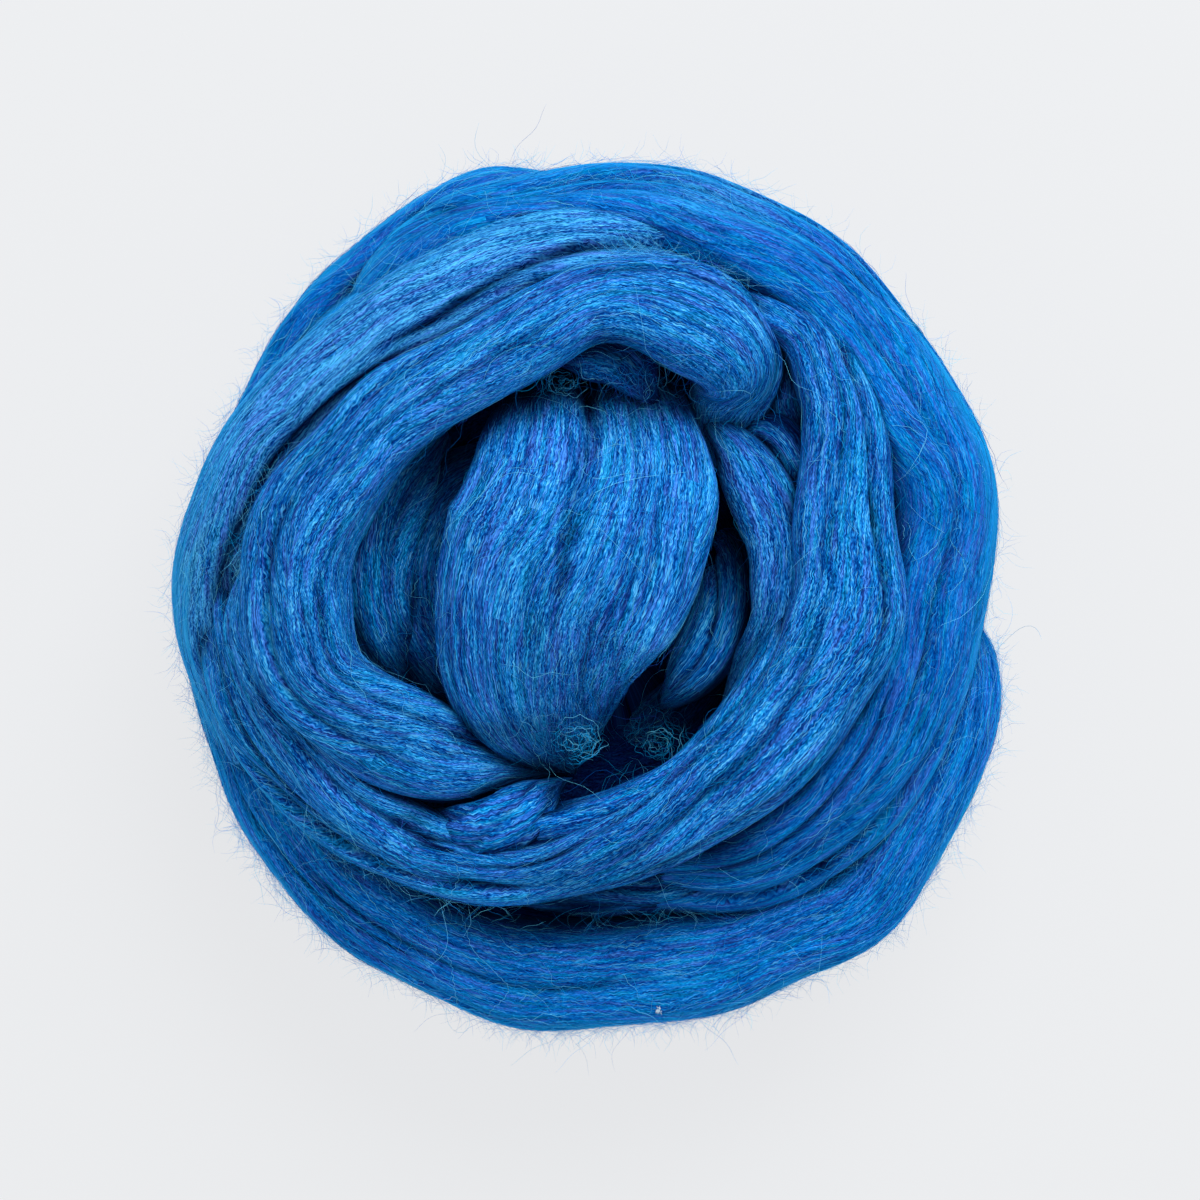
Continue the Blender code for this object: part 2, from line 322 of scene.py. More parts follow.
@dataclass
class Skin:
    """A band's surface as a grid: rows run along the band, columns round it.

    along is each row's distance from the band's start, and arc each column's distance round the
    band from the middle of its face, both in mm. turned is each column's share of a full turn.
    The field after turned holds how strongly shade is painted at each point for the creases and
    lock edges it lies in, and openness how much of the sky it sees, lowered where more shade is
    painted.
    lock is the number of the lock that each point belongs to, and drifts holds the place of each
    lock's middle round the band, in mm, at each row.
    """

    points: Array
    normals: Array
    along: Array
    arc: Array
    turned: Array
    painted_shade: Array
    lock: Array
    drifts: Array
    openness: Array | None = None

    def read(self, grid: Array, along: Array, arc: Array) -> Array:
        """Read a grid of the skin between its points.

        Args:
            grid: An array whose first two sides are the skin's rows and columns.
            along: Distances along the band, in mm.
            arc: Distances round it, in mm.

        Returns:
            The grid's values there.
        """
        row = np.interp(along, self.along, np.arange(len(self.along)))
        column = np.interp(arc, self.arc, np.arange(len(self.arc)))
        i = np.minimum(row.astype(int), grid.shape[0] - 2)
        j = np.minimum(column.astype(int), grid.shape[1] - 2)
        shape = row.shape + (1,) * (grid.ndim - 2)
        f, g = (row - i).reshape(shape), (column - j).reshape(shape)
        near = grid[i, j] * (1 - g) + grid[i, j + 1] * g
        far = grid[i + 1, j] * (1 - g) + grid[i + 1, j + 1] * g
        return near * (1 - f) + far * f

    def follow(self, lock: Array, along: Array) -> Array:
        """Give the place round the band of some locks' middles.

        Args:
            lock: A lock's number for each fibre.
            along: Distances along the band in mm, a row of them for each fibre.

        Returns:
            The middle's place in mm at each of the distances.
        """
        row = np.interp(along, self.along, np.arange(len(self.along)))
        i = np.minimum(row.astype(int), len(self.along) - 2)
        near, far = self.drifts[lock[:, None], i], self.drifts[lock[:, None], i + 1]
        return near + (far - near) * (row - i)

    def faces(self) -> Array:
        """Give the skin's four-sided faces as point numbers, row by row."""
        rows, columns = self.points.shape[:2]
        row, column = np.meshgrid(np.arange(rows - 1), np.arange(columns), indexing="ij")
        after = (column + 1) % columns
        corners = [row * columns + column, row * columns + after]
        corners += [(row + 1) * columns + after, (row + 1) * columns + column]
        return np.stack(corners, -1).reshape(-1, 4)


@dataclass
class Band:
    """One stretch of the sliver: a closed, flattened tube with creases, locks and ridges along it.

    Lengths are in mm. The ring inside the ball is what most bands' flat sides face away from.
    face_share and back_share are how much of the girth the finely and a coarsely cut side take,
    and face_edge how far past its edges the fine side goes, as a share of half a turn. The shade
    painted in a crease is full from a depth of dark_from, and short_locks is the share of locks
    that don't run the band's whole length. bloom and soft, from 0 to 1, are how much paler the
    band's lighter streaks are and how evenly coloured it is. The last field, from 0 to 1, is how
    much more shade is painted on the band than its sight of the sky gives, and below 0 it is
    painted lighter.
    """

    name: str
    rows: list[tuple]
    creases: list[tuple] = field(default_factory=list)
    facing: Facing = Facing.AWAY_FROM_RING
    seed: int = 1
    ring_radius: float = 48.0
    ring_height: float = 42.0
    roundness: float = 0.76
    face_edge: float = 0.12
    face_share: float = 0.62
    back_share: float = 0.19
    step_along: float = 2.0
    step_on_face: float = 0.55
    step_on_back: float = 2.4
    end_taper: float = 26.0
    small_creases: int = 5
    small_crease_depth: float = 1.0
    crease_wander: float = 0.07
    dark_from: float = 2.2
    ridge_height: float = 0.2
    ridge_width: float = 2.1
    ridge_sway: float = 1.6
    wobble: float = 0.9
    uneven_width: float = 0.05
    uneven_thickness: float = 0.06
    lock_spacing: float = 8.5
    lock_crown: float = 1.2
    lock_lift: float = 0.45
    lock_floor: float = 0.3
    short_locks: float = 0.6
    fibre_share: float = 1.0
    bloom: float = 0.0
    soft: float = 0.0
    extra_shade: float = 0.0

    def facing_at(self, places: Array) -> Array:
        """Give the outward direction of the band's flat side at each place."""
        if self.facing is Facing.UP:
            return np.tile([0.0, 0.0, 1.0], (len(places), 1))
        flat = places * [1.0, 1.0, 0.0]
        nearest = unit(flat) * self.ring_radius + [0.0, 0.0, self.ring_height]
        return unit(places - nearest)

    def angles(self, girth: float) -> Array:
        """Give the angles of the points round the band, close together on its outward face."""
        on_face = max(12, int(girth * self.face_share / self.step_on_face))
        on_back = max(4, int(girth * self.back_share / self.step_on_back))
        low, high = -self.face_edge * math.pi, (1 + self.face_edge) * math.pi
        first_back = np.linspace(-0.5 * math.pi, low, on_back, endpoint=False)
        last_back = np.linspace(high, 1.5 * math.pi, on_back + 1)[1:-1]
        return np.concatenate([first_back, np.linspace(low, high, on_face), last_back])

    def outline(self, angle: Array) -> tuple[Array, Array]:
        """Give a full cross-section's points, from -1 to 1 across and out."""
        cos, sin = np.cos(angle), np.sin(angle)
        across = np.sign(cos) * np.abs(cos) ** self.roundness
        return across, np.sign(sin) * np.abs(sin) ** self.roundness

    def small_folds(self) -> list[Crease]:
        """Draw the fine folds that the band has beside its listed creases."""
        rng = np.random.default_rng(self.seed + 500)
        folds = []
        for _ in range(self.small_creases):
            middle, reach = rng.uniform(0.0, 1.0), rng.uniform(0.12, 0.4)
            across = rng.uniform(-0.95, 0.95)
            folds.append(Crease(
                across, across + rng.uniform(-0.35, 0.35),
                depth=self.small_crease_depth * rng.uniform(0.35, 1.2),
                width=rng.uniform(0.45, 1.1), start=middle - reach, end=middle + reach,
                overlap=rng.choice([-1.0, 0.0, 1.0]),
            ))
        return folds

    def folds(
        self, share: Array, lateral: Array, half: Array, noise: SoftNoise,
    ) -> tuple[Array, Array]:
        """Work out how deep each spot lies in the band's creases.

        Args:
            share: The share of the band's length at each row.
            lateral: Each column's place across the face, -1 and 1 at its edges.
            half: Half the face's breadth in mm, at each row.
            noise: The noise that makes the creases wander.

        Returns:
            The depth in mm at each spot, and how strongly shade is painted on it near a crease's
            narrow bottom.
        """
        depth = np.zeros((len(share), len(lateral)))
        bottom = np.zeros_like(depth)
        creases = [Crease(*row) for row in self.creases] + self.small_folds()
        for index, crease in enumerate(creases):
            run = (share - crease.start) / (crease.end - crease.start)
            middle = crease.across_start + (crease.across_end - crease.across_start) * run
            middle = middle + self.crease_wander * noise.at(share * 7.0, np.array(3.7 * index))
            ease = smooth_share(run, 0.0, 0.25) * (1.0 - smooth_share(run, 0.75, 1.0))
            off = (lateral[None] - middle[:, None]) * half[:, None]
            above, below = crease.two_sides(0.35, 1.0, 2.4)
            above, below = crease.width * above, crease.width * below
            slope = np.where(off < 0, np.exp(off / above), np.exp(-off / below))
            depth += ease[:, None] * crease.depth * slope
            # The shade painted near the crease's narrow bottom, full from a depth of dark_from.
            above, below = crease.two_sides(0.4, 0.6, 1.3)
            near = np.exp(np.where(off < 0, off / above, -off / below))
            darkest = ease[:, None] * min(1.0, crease.depth / self.dark_from)
            bottom = np.maximum(bottom, darkest * near)
        return depth, bottom

    def locks(
        self, along: Array, arc: Array, half_face: float, noise: SoftNoise,
    ) -> tuple[Array, Array, Array]:
        """Part the face into locks that drift side by side and lie partly over each other.

        Args:
            along: Each row's distance along the band, in mm.
            arc: Each column's distance round it from the middle of the face, in mm.
            half_face: Half the face's breadth, in mm.
            noise: The noise that the locks' courses are drawn from.

        Returns:
            The height of the locks' surface in mm, the number of the lock on top at each spot, and
            the place of each lock's middle at each row.
        """
        rng = np.random.default_rng(self.seed + 900)
        share = along / along[-1]
        drifts = [np.zeros(len(along))]
        surfaces = [np.full((len(along), len(arc)), self.lock_floor)]
        for index in range(max(3, round(3.6 * half_face / self.lock_spacing))):
            lean = rng.uniform(-0.6, 0.6) * self.lock_spacing * (share - 0.5)
            middle = half_face * rng.uniform(-1.15, 1.15) + lean
            middle = middle + 0.6 * self.lock_spacing * noise.line(along, 42.0, 7.3 * index)
            reach = self.lock_spacing * rng.uniform(0.4, 1.15)
            reach = reach * (1.0 + 0.3 * noise.line(along, 37.0, 5.1 * index + 100.0))
            swell = noise.line(along, 31.0, 3.3 * index + 60.0)
            level = self.lock_lift * (rng.uniform(-1, 1) + swell)
            if rng.uniform() < self.short_locks:
                centre, half = rng.uniform(0.1, 0.9), rng.uniform(0.2, 0.5)
                level = level + 0.5 - 3.0 * smooth_share(np.abs(share - centre), half * 0.4, half)
            off = (arc[None] - middle[:, None]) / reach[:, None]
            dome = self.lock_crown * np.sqrt(np.clip(1.0 - np.abs(off) ** 2.6, 0.0, 1.0))
            surfaces.append(np.where(np.abs(off) < 1.0, level[:, None] + dome, -2.0))
            drifts.append(middle)
        surfaces = np.array(surfaces)
        height = surfaces.max(0)
        height = 0.25 * np.roll(height, 1, 1) + 0.5 * height + 0.25 * np.roll(height, -1, 1)
        return height, surfaces.argmax(0), np.array(drifts)

    def skin(self) -> Skin:
        """Sweep the band and raise its creases and ridges.

        Returns:
            The band's surface.
        """
        noise = SoftNoise(self.seed)
        route = smooth_route([Section(*row) for row in self.rows], self.step_along)
        places, full_widths, full_thicknesses = route[:, :3].copy(), route[:, 3], route[:, 4]
        along = np.concatenate([[0.0], np.cumsum(np.linalg.norm(np.diff(places, axis=0), axis=1))])
        ahead = unit(np.gradient(places, axis=0))
        across = unit(np.cross(ahead, self.facing_at(places)))
        out = np.cross(across, ahead)
        places += across * (self.wobble * noise.line(along, *Waver.ASIDE.value))[:, None]
        places += out * (0.6 * self.wobble * noise.line(along, *Waver.OUT.value))[:, None]
        from_end = np.minimum(along, along[-1] - along)
        taper = min(self.end_taper, 0.28 * along[-1])
        kept = np.sin(np.pi / 2 * np.clip((from_end + 0.4) / taper, 0.0, 1.0))
        swell = self.uneven_width * noise.line(along, *Waver.WIDTH.value)
        width = full_widths * kept * (1 + swell)
        swell = self.uneven_thickness * noise.line(along, *Waver.THICKNESS.value)
        thickness = full_thicknesses * kept * (1 + swell)
        angle = self.angles(2.9 * (full_widths.max() + full_thicknesses.max()) / 2)
        shape_x, shape_y = self.outline(angle)
        arc = self.arc_lengths(angle, full_widths.mean(), full_thicknesses.mean())
        half_face = np.interp(math.pi, angle, arc)
        half = half_face * width / full_widths.mean()
        depth, bottom = self.folds(along / along[-1], arc / half_face, half, noise)
        size = np.minimum(1.0, kept)[:, None] * smooth_share(np.sin(angle), -0.35, 0.1)[None]
        row = along[:, None]
        lane = arc[None] + self.ridge_sway * noise.line(along, *Waver.RIDGES.value)[:, None]
        ridges = noise.at(row / 38.0, lane / self.ridge_width + 90.0)
        ridges = ridges + 0.5 * noise.at(row / 22.0 + 40.0, lane / (self.ridge_width / 2) + 90.0)
        height, lock, drifts = self.locks(along, arc, half_face, noise)
        height = height - self.lock_crown
        raised = (height + self.ridge_height * ridges - depth) * size
        # Shade is also painted where a spot lies lower than the wool on both sides, faded in
        # patches.
        higher = [
            np.max([np.roll(raised, side * shift, 1) for shift in (1, 2)], 0) for side in (-1, 1)
        ]
        fade = 0.2 + 0.8 * smooth_share(noise.at(row / 13.0, lane / 5.0 + 70.0), -0.5, 0.6)
        bottom = np.maximum(bottom, smooth_share(np.min(higher, 0) - raised, 0.05, 0.6) * fade)
        slope_x = np.cos(angle)[None] / np.maximum(width[:, None], 1e-6)
        slope_y = np.sin(angle)[None] / np.maximum(thickness[:, None], 1e-6)
        length = np.hypot(slope_x, slope_y)
        local_x = shape_x[None] * width[:, None] / 2 + raised * slope_x / length
        local_y = shape_y[None] * thickness[:, None] / 2 + raised * slope_y / length
        points = places[:, None] + across[:, None] * local_x[..., None]
        points = points + out[:, None] * local_y[..., None]
        points[..., 2] = np.maximum(points[..., 2], FLOOR_GAP)
        round_it = np.roll(points, -1, axis=1) - np.roll(points, 1, axis=1)
        normals = unit(np.cross(round_it, np.gradient(points, axis=0)))
        if ((points - places[:, None]) * normals).sum() < 0:
            normals = -normals
        turned = (angle + math.pi / 2) / (2 * math.pi)
        return Skin(points, normals, along, arc, turned, bottom * size, lock, drifts)

    def arc_lengths(self, angle: Array, width: float, thickness: float) -> Array:
        """Give each column's distance round the band from the middle of its face, in mm.

        Args:
            angle: The columns' angles.
            width: The band's width where it is measured, in mm.
            thickness: Its thickness there, in mm.

        Returns:
            The distances, below zero before the middle.
        """
        fine = np.linspace(-math.pi / 2, 1.5 * math.pi, 721)
        x, y = self.outline(fine)
        steps = np.hypot(np.diff(x * width / 2), np.diff(y * thickness / 2))
        total = np.concatenate([[0.0], np.cumsum(steps)])
        return np.interp(angle, fine, total) - np.interp(math.pi / 2, fine, total)

    def piece(self, skin: Skin, material: Material) -> Piece:
        """Turn the band's surface into a closed piece with its maps and attributes.

        Args:
            skin: The surface.
            material: What it is dressed in.

        Returns:
            The new piece.
        """
        rows, columns = skin.points.shape[:2]
        poles = np.array([skin.points[0].mean(0), skin.points[-1].mean(0)])
        points = np.concatenate([skin.points.reshape(-1, 3), poles])
        side = np.arange(columns)
        after, first, base = (side + 1) % columns, rows * columns, (rows - 1) * columns
        caps = np.stack([np.full(columns, first), after, side], -1).tolist()
        caps += np.stack([np.full(columns, first + 1), base + side, base + after], -1).tolist()
        piece = mesh_piece(self.name, points, [*skin.faces().tolist(), *caps], material)
        row, column = np.meshgrid(np.arange(rows - 1), side, indexing="ij")
        corner_row = np.concatenate([
            np.stack([row, row, row + 1, row + 1], -1).ravel(),
            np.zeros(3 * columns, int),
            np.full(3 * columns, rows - 1),
        ])
        corner_column = np.concatenate([
            np.stack([column, column + 1, column + 1, column], -1).ravel(),
            np.stack([side, side + 1, side], -1).ravel(),
            np.stack([side, side, side + 1], -1).ravel(),
        ])
        whole_arc = (skin.arc[-1] - skin.arc[0]) / (skin.turned[-1] - skin.turned[0])
        arc = np.append(skin.arc, skin.arc[0] + whole_arc)
        lock = np.append(np.repeat(skin.lock[:-1], 4), np.repeat(skin.lock[[0, -1]], 3))
        lane = arc[corner_column] - skin.drifts[lock, corner_row] + LOCK_SHIFT * lock
        along = skin.along[corner_row]
        add_map(piece, FIBRE_MAP, along + BAND_SHIFT * self.seed, lane)
        add_map(piece, BAKE_MAP, along / skin.along[-1], np.append(skin.turned, 1.0)[corner_column])
        # The painted shade: darker where a point sees little of the sky and at the bottoms of
        # creases.
        shade = 1.0 - smooth_share(skin.openness, OPEN_DARK, OPEN_LIGHT)
        painted_shade = 1.0 - (1.0 - skin.painted_shade * CREASE_SHADE) * (1.0 - shade)
        painted_shade = np.append(painted_shade.ravel(), [1.0, 1.0])
        rim = smooth_share(np.hypot(points[:, 0], points[:, 1]), RIM_FROM, RIM_FULL)
        add_numbers(piece, PAINTED_SHADE, painted_shade)
        add_numbers(piece, BLOOM, self.bloom + sum(spot.at(points) for spot in PALE_SPOTS))
        add_numbers(piece, SOFT, np.full(len(points), self.soft))
        # The mask of the painted sheen: near the ball's outline and out of the painted shade.
        add_numbers(piece, RIM, rim * (1.0 - painted_shade))
        if signed_volume(piece) < 0:
            piece.data.flip_normals()
        return piece


def dress(node: bpy.types.Node, values: dict[str, float | tuple]) -> None:
    """Set the constant values of a node's sockets, with full cover for a colour."""
    for name, value in values.items():
        node.inputs[name].default_value = (*value, 1.0) if isinstance(value, tuple) else value


class Finish:
    """A node tree under construction, with short ways to add the nodes that wool needs."""

    def __init__(self, name: str) -> None:
        """Start a material with a bare shader.

        Args:
            name: The material's name.
        """
        self.material = bpy.data.materials.new(name)
        self.material.use_nodes = True
        self.nodes = self.material.node_tree.nodes
        self.links = self.material.node_tree.links
        self.shader = self.nodes["Principled BSDF"]

    def put(self, socket: Socket, value: object) -> None:
        """Link a socket to another node's output, or set its value."""
        if isinstance(value, Socket):
            self.links.new(value, socket)
        else:
            socket.default_value = value

    def sums(self, operation: str, *values: object) -> Socket:
        """Add one step of arithmetic and give its result."""
        node = self.nodes.new("ShaderNodeMath")
        node.operation = operation
        for socket, value in zip(node.inputs, values):
            self.put(socket, value)
        return node.outputs[0]

    def vector(self, x: object, y: object, z: object) -> Socket:
        """Join three numbers into a vector."""
        node = self.nodes.new("ShaderNodeCombineXYZ")
        for socket, value in zip(node.inputs, (x, y, z)):
            self.put(socket, value)
        return node.outputs[0]

    def clouds(self, place: Socket) -> Socket:
        """Add noise read at a place whose steps are one unit, and give its strength."""
        node = self.nodes.new("ShaderNodeTexNoise")
        dress(node, {"Scale": 1.0, "Detail": 1.0, "Roughness": 0.55})
        self.put(node.inputs["Vector"], place)
        return node.outputs["Fac"]

    def mixed(
        self, share: object, first: object, second: object, blend: str = "MIX",
    ) -> Socket:
        """Mix two colours and give the result."""
        node = self.nodes.new("ShaderNodeMix")
        node.data_type = "RGBA"
        node.blend_type = blend
        self.put(node.inputs["Factor"], share)
        for socket, value in ((node.inputs[6], first), (node.inputs[7], second)):
            self.put(socket, value if isinstance(value, Socket) else (*value, 1.0))
        return node.outputs[2]

    def between(self, value: Socket, low: float, high: float) -> Socket:
        """Stretch a value so that low becomes 0 and high becomes 1, eased at both ends."""
        node = self.nodes.new("ShaderNodeMapRange")
        node.interpolation_type = "SMOOTHSTEP"
        self.put(node.inputs["Value"], value)
        dress(node, {"From Min": low, "From Max": high})
        return node.outputs["Result"]

    def attribute(self, name: str) -> Socket:
        """Read a number that the mesh holds for each point."""
        node = self.nodes.new("ShaderNodeAttribute")
        node.attribute_name = name
        return node.outputs["Fac"]

    def ramp(self, value: Socket, stops: tuple) -> Socket:
        """Turn a value into a colour that runs from shade to shade."""
        node = self.nodes.new("ShaderNodeValToRGB")
        elements = node.color_ramp.elements
        while len(elements) < len(stops):
            elements.new(0.5)
        for element, (place, shade) in zip(elements, stops):
            element.position = place
            element.color = (*shade.value, 1.0)
        self.put(node.inputs["Fac"], value)
        return node.outputs["Color"]


# The dull gloss and the soft sheen that all the wool has.
WOOL_GLOSS = {
    "Roughness": 0.66, "Specular IOR Level": 0.01, "Sheen Weight": 0.05, "Sheen Roughness": 0.4,
    "Sheen Tint": (0.0, 0.4, 1.0),
}


@dataclass(frozen=True)
class CombedWool:
    """The finish of combed wool: fine, crimped, parallel fibres of several near shades.

    Each pair from crimp to patch is how long and how wide a streak of one kind is, in mm. weights
    are the shares of grain, fibre, wisp and lock in the tone, and ramp the shades it runs through.
    Each range from glint_range to seam_range is where one kind of streak starts and is full.
    """

    name: str
    crimp: Range = (1.15, 1.5)
    crimp_height: float = 0.6
    sway: Range = (15.0, 4.5)
    sway_height: float = 1.3
    grain: Range = (0.9, 0.19)
    fibre: Range = (5.0, 0.23)
    wisp: Range = (14.0, 0.50)
    glint: Range = (4.0, 0.21)
    seam: Range = (32.0, 2.3)
    lock: Range = (34.0, 2.6)
    hue: Range = (11.0, 0.75)
    patch: Range = (55.0, 5.0)
    weights: tuple[float, float, float, float] = (0.40, 0.33, 0.20, 0.20)
    ramp: tuple[tuple[float, Shade], ...] = (
        (0.425, Shade.NIGHT), (0.495, Shade.ROYAL), (0.57, Shade.SKY), (0.65, Shade.FROST),
    )
    glint_range: Range = (0.56, 0.68)
    teal_range: Range = (0.52, 0.62)
    violet_range: Range = (0.47, 0.39)
    bloom_range: Range = (0.44, 0.60)
    seam_range: Range = (0.022, 0.0)
    glint_strength: float = 0.5
    cast_strength: float = 0.55
    seam_strength: float = 0.85
    seam_tint: Colour = (0.0, 0.25, 0.42)
    # how strongly a pale sheen is painted on the wool near the ball's outline
    painted_rim_sheen: float = 0.7
    relief: float = 0.09
    relief_strength: float = 0.9

    def make(self) -> Material:
        """Build the material.

        Returns:
            The finished material.
        """
        wool = Finish(self.name)
        sums, between = wool.sums, wool.between
        uv = wool.nodes.new("ShaderNodeUVMap")
        uv.uv_map = FIBRE_MAP
        parts = wool.nodes.new("ShaderNodeSeparateXYZ")
        wool.links.new(uv.outputs[0], parts.inputs[0])
        along, across = parts.outputs[0], parts.outputs[1]
        crimp, sway = (
            sums("MULTIPLY", self.streaks(wool, along, across, size, seed), height)
            for size, seed, height in (
                (self.crimp, 3.0, self.crimp_height), (self.sway, 4.0, self.sway_height),
            )
        )
        lane = sums("ADD", sums("ADD", across, sway), crimp)
        fibre, wisp, lock, hue, patch, glint, seam, grain = (
            self.streaks(wool, along, lane, size, seed) for size, seed in (
                (self.fibre, 1.0), (self.wisp, 11.0), (self.lock, 23.0), (self.hue, 37.0),
                (self.patch, 51.0), (self.glint, 61.0), (self.seam, 71.0), (self.grain, 81.0),
            )
        )
        height = sums("MULTIPLY", grain, self.weights[0])
        height = sums("MULTIPLY_ADD", fibre, self.weights[1], height)
        height = sums("MULTIPLY_ADD", wisp, self.weights[2], height)
        tone = sums("MULTIPLY_ADD", lock, self.weights[3], height)
        tone = sums("ADD", tone, 0.5 - 0.5 * sum(self.weights))
        soft = wool.attribute(SOFT)
        tone = sums("ADD", tone, sums("MULTIPLY", sums("SUBTRACT", 0.5, tone), soft))
        colour = wool.ramp(tone, self.ramp)
        strength = sums("MULTIPLY_ADD", soft, -0.45, self.glint_strength)
        glint = sums("MULTIPLY", between(glint, *self.glint_range), strength)
        colour = wool.mixed(glint, colour, Shade.FROST.value)
        cast = sums("MULTIPLY_ADD", patch, 0.25, sums("MULTIPLY", hue, 0.75))
        teal = sums("MULTIPLY", between(cast, *self.teal_range), self.cast_strength)
        violet = sums("MULTIPLY", between(cast, *self.violet_range), self.cast_strength)
        colour = wool.mixed(teal, colour, Shade.TEAL.value, "COLOR")
        colour = wool.mixed(violet, colour, Shade.VIOLET.value, "COLOR")
        # Lighter streaks are painted paler as the bloom attribute says, in places as a painted
        # highlight.
        bloom = sums("MULTIPLY", wool.attribute(BLOOM), between(tone, *self.bloom_range))
        colour = wool.mixed(bloom, colour, wool.mixed(violet, Shade.FROST.value, Shade.LILAC.value))
        seam = between(sums("ABSOLUTE", sums("SUBTRACT", seam, 0.5)), *self.seam_range)
        seam = sums("MULTIPLY", seam, between(wisp, 0.38, 0.56))
        seam = sums("MULTIPLY", seam, self.seam_strength)
        colour = wool.mixed(seam, colour, self.seam_tint, "MULTIPLY")
        # A pale sheen painted on the wool near the ball's outline, where it is seen at a slant.
        edge = wool.nodes.new("ShaderNodeLayerWeight")
        dress(edge, {"Blend": 0.5})
        painted_sheen = sums("MULTIPLY", between(edge.outputs["Facing"], 0.3, 0.85), wool.attribute(RIM))
        colour = wool.mixed(sums("MULTIPLY", painted_sheen, self.painted_rim_sheen), colour, Shade.HAZE_AND_SHEEN.value)
        # Painted shade: each spot's colour is darkened by the shade painted on it.
        colour = wool.mixed(wool.attribute(PAINTED_SHADE), colour, DEEPEST_SHADE_COLOUR, "MULTIPLY")
        wool.links.new(colour, wool.shader.inputs["Base Color"])
        bump = wool.nodes.new("ShaderNodeBump")
        dress(bump, {"Strength": self.relief_strength, "Distance": self.relief * MM})
        wool.links.new(height, bump.inputs["Height"])
        wool.links.new(bump.outputs[0], wool.shader.inputs["Normal"])
        dress(wool.shader, WOOL_GLOSS)
        return wool.material

    def streaks(
        self, wool: Finish, along: object, lane: object, size: tuple, seed: float,
    ) -> Socket:
        """Add noise drawn out along the fibres.

        Args:
            wool: The material that gets the noise.
            along: The place along the band, in mm.
            lane: The place across it, in mm.
            size: How long and how wide a streak is, in mm.
            seed: A number that sets this noise apart from the others.

        Returns:
            The noise, about 0.5.
        """
        steps = (wool.sums("DIVIDE", place, span) for place, span in zip((along, lane), size))
        return wool.clouds(wool.vector(*steps, seed))


@dataclass(frozen=True)
class SingleFibre:
    """The finish of fibres that show one by one, each in its own colour and any shade painted into
    it.
    """

    name: str

    def make(self) -> Material:
        """Build the material.

        Returns:
            The finished material.
        """
        wool = Finish(self.name)
        tint_and_shade = wool.nodes.new("ShaderNodeAttribute")
        tint_and_shade.attribute_name = TINT_AND_SHADE
        wool.links.new(tint_and_shade.outputs["Color"], wool.shader.inputs["Base Color"])
        dress(wool.shader, WOOL_GLOSS | {"Specular IOR Level": 0.0})
        return wool.material


@dataclass
class Studio:
    """The pale floor, the soft light and the camera straight above the ball, in metres and watts.

    view_width is what the photo's frame takes in at focus_height.
    """

    camera_height: float = 0.750
    view_width: float = 0.252
    sensor_width: float = 36.0
    focus_height: float = 0.045
    view_centre: Range = (0.00126, -0.00126)
    floor_size: float = 8.0
    floor_colour: Colour = (0.09, 0.095, 0.10)
    floor_glow: Colour = (0.735, 0.74, 0.75)
    sky_colour: Colour = (0.98, 0.99, 1.0)
    sky_strength: float = 0.69
    lamp_place: tuple[float, float, float] = (0.27, 0.74, 0.85)
    lamp_size: float = 0.7
    lamp_power: float = 10.9

    def build(self) -> None:
        """Set up the floor, the light and the camera."""
        self.lay_floor()
        self.hang_lights()
        self.place_camera()
        bpy.context.scene.view_settings.view_transform = "Standard"

    def lay_floor(self) -> None:
        """Lay the pale floor that the ball rests on."""
        bpy.ops.mesh.primitive_plane_add(size=self.floor_size)
        floor = bpy.context.object
        floor.name = "floor"
        paper = Finish("pale_floor")
        dress(paper.shader, {
            "Base Color": self.floor_colour, "Emission Color": self.floor_glow,
            "Emission Strength": 1.0, "Roughness": 0.9, "Specular IOR Level": 0.1,
        })
        floor.data.materials.append(paper.material)

    def hang_lights(self) -> None:
        """Hang one large soft lamp and light the whole room evenly."""
        world = bpy.data.worlds.new("room")
        world.use_nodes = True
        bpy.context.scene.world = world
        background = world.node_tree.nodes["Background"]
        dress(background, {"Color": self.sky_colour, "Strength": self.sky_strength})
        lamp = bpy.data.lights.new("window", "AREA")
        lamp.size = self.lamp_size
        lamp.energy = self.lamp_power
        holder = bpy.data.objects.new("window", lamp)
        holder.location = self.lamp_place
        holder.rotation_euler = (-Vector(self.lamp_place)).to_track_quat("-Z", "Y").to_euler()
        bpy.context.scene.collection.objects.link(holder)

    def place_camera(self) -> None:
        """Look straight down on the ball, with the photo's frame."""
        camera = bpy.data.objects.new("camera", bpy.data.cameras.new("camera"))
        camera.data.sensor_width = self.sensor_width
        distance = self.camera_height - self.focus_height
        camera.data.lens = self.sensor_width * distance / self.view_width
        camera.location = (*self.view_centre, self.camera_height)
        bpy.context.scene.collection.objects.link(camera)
        bpy.context.scene.camera = camera


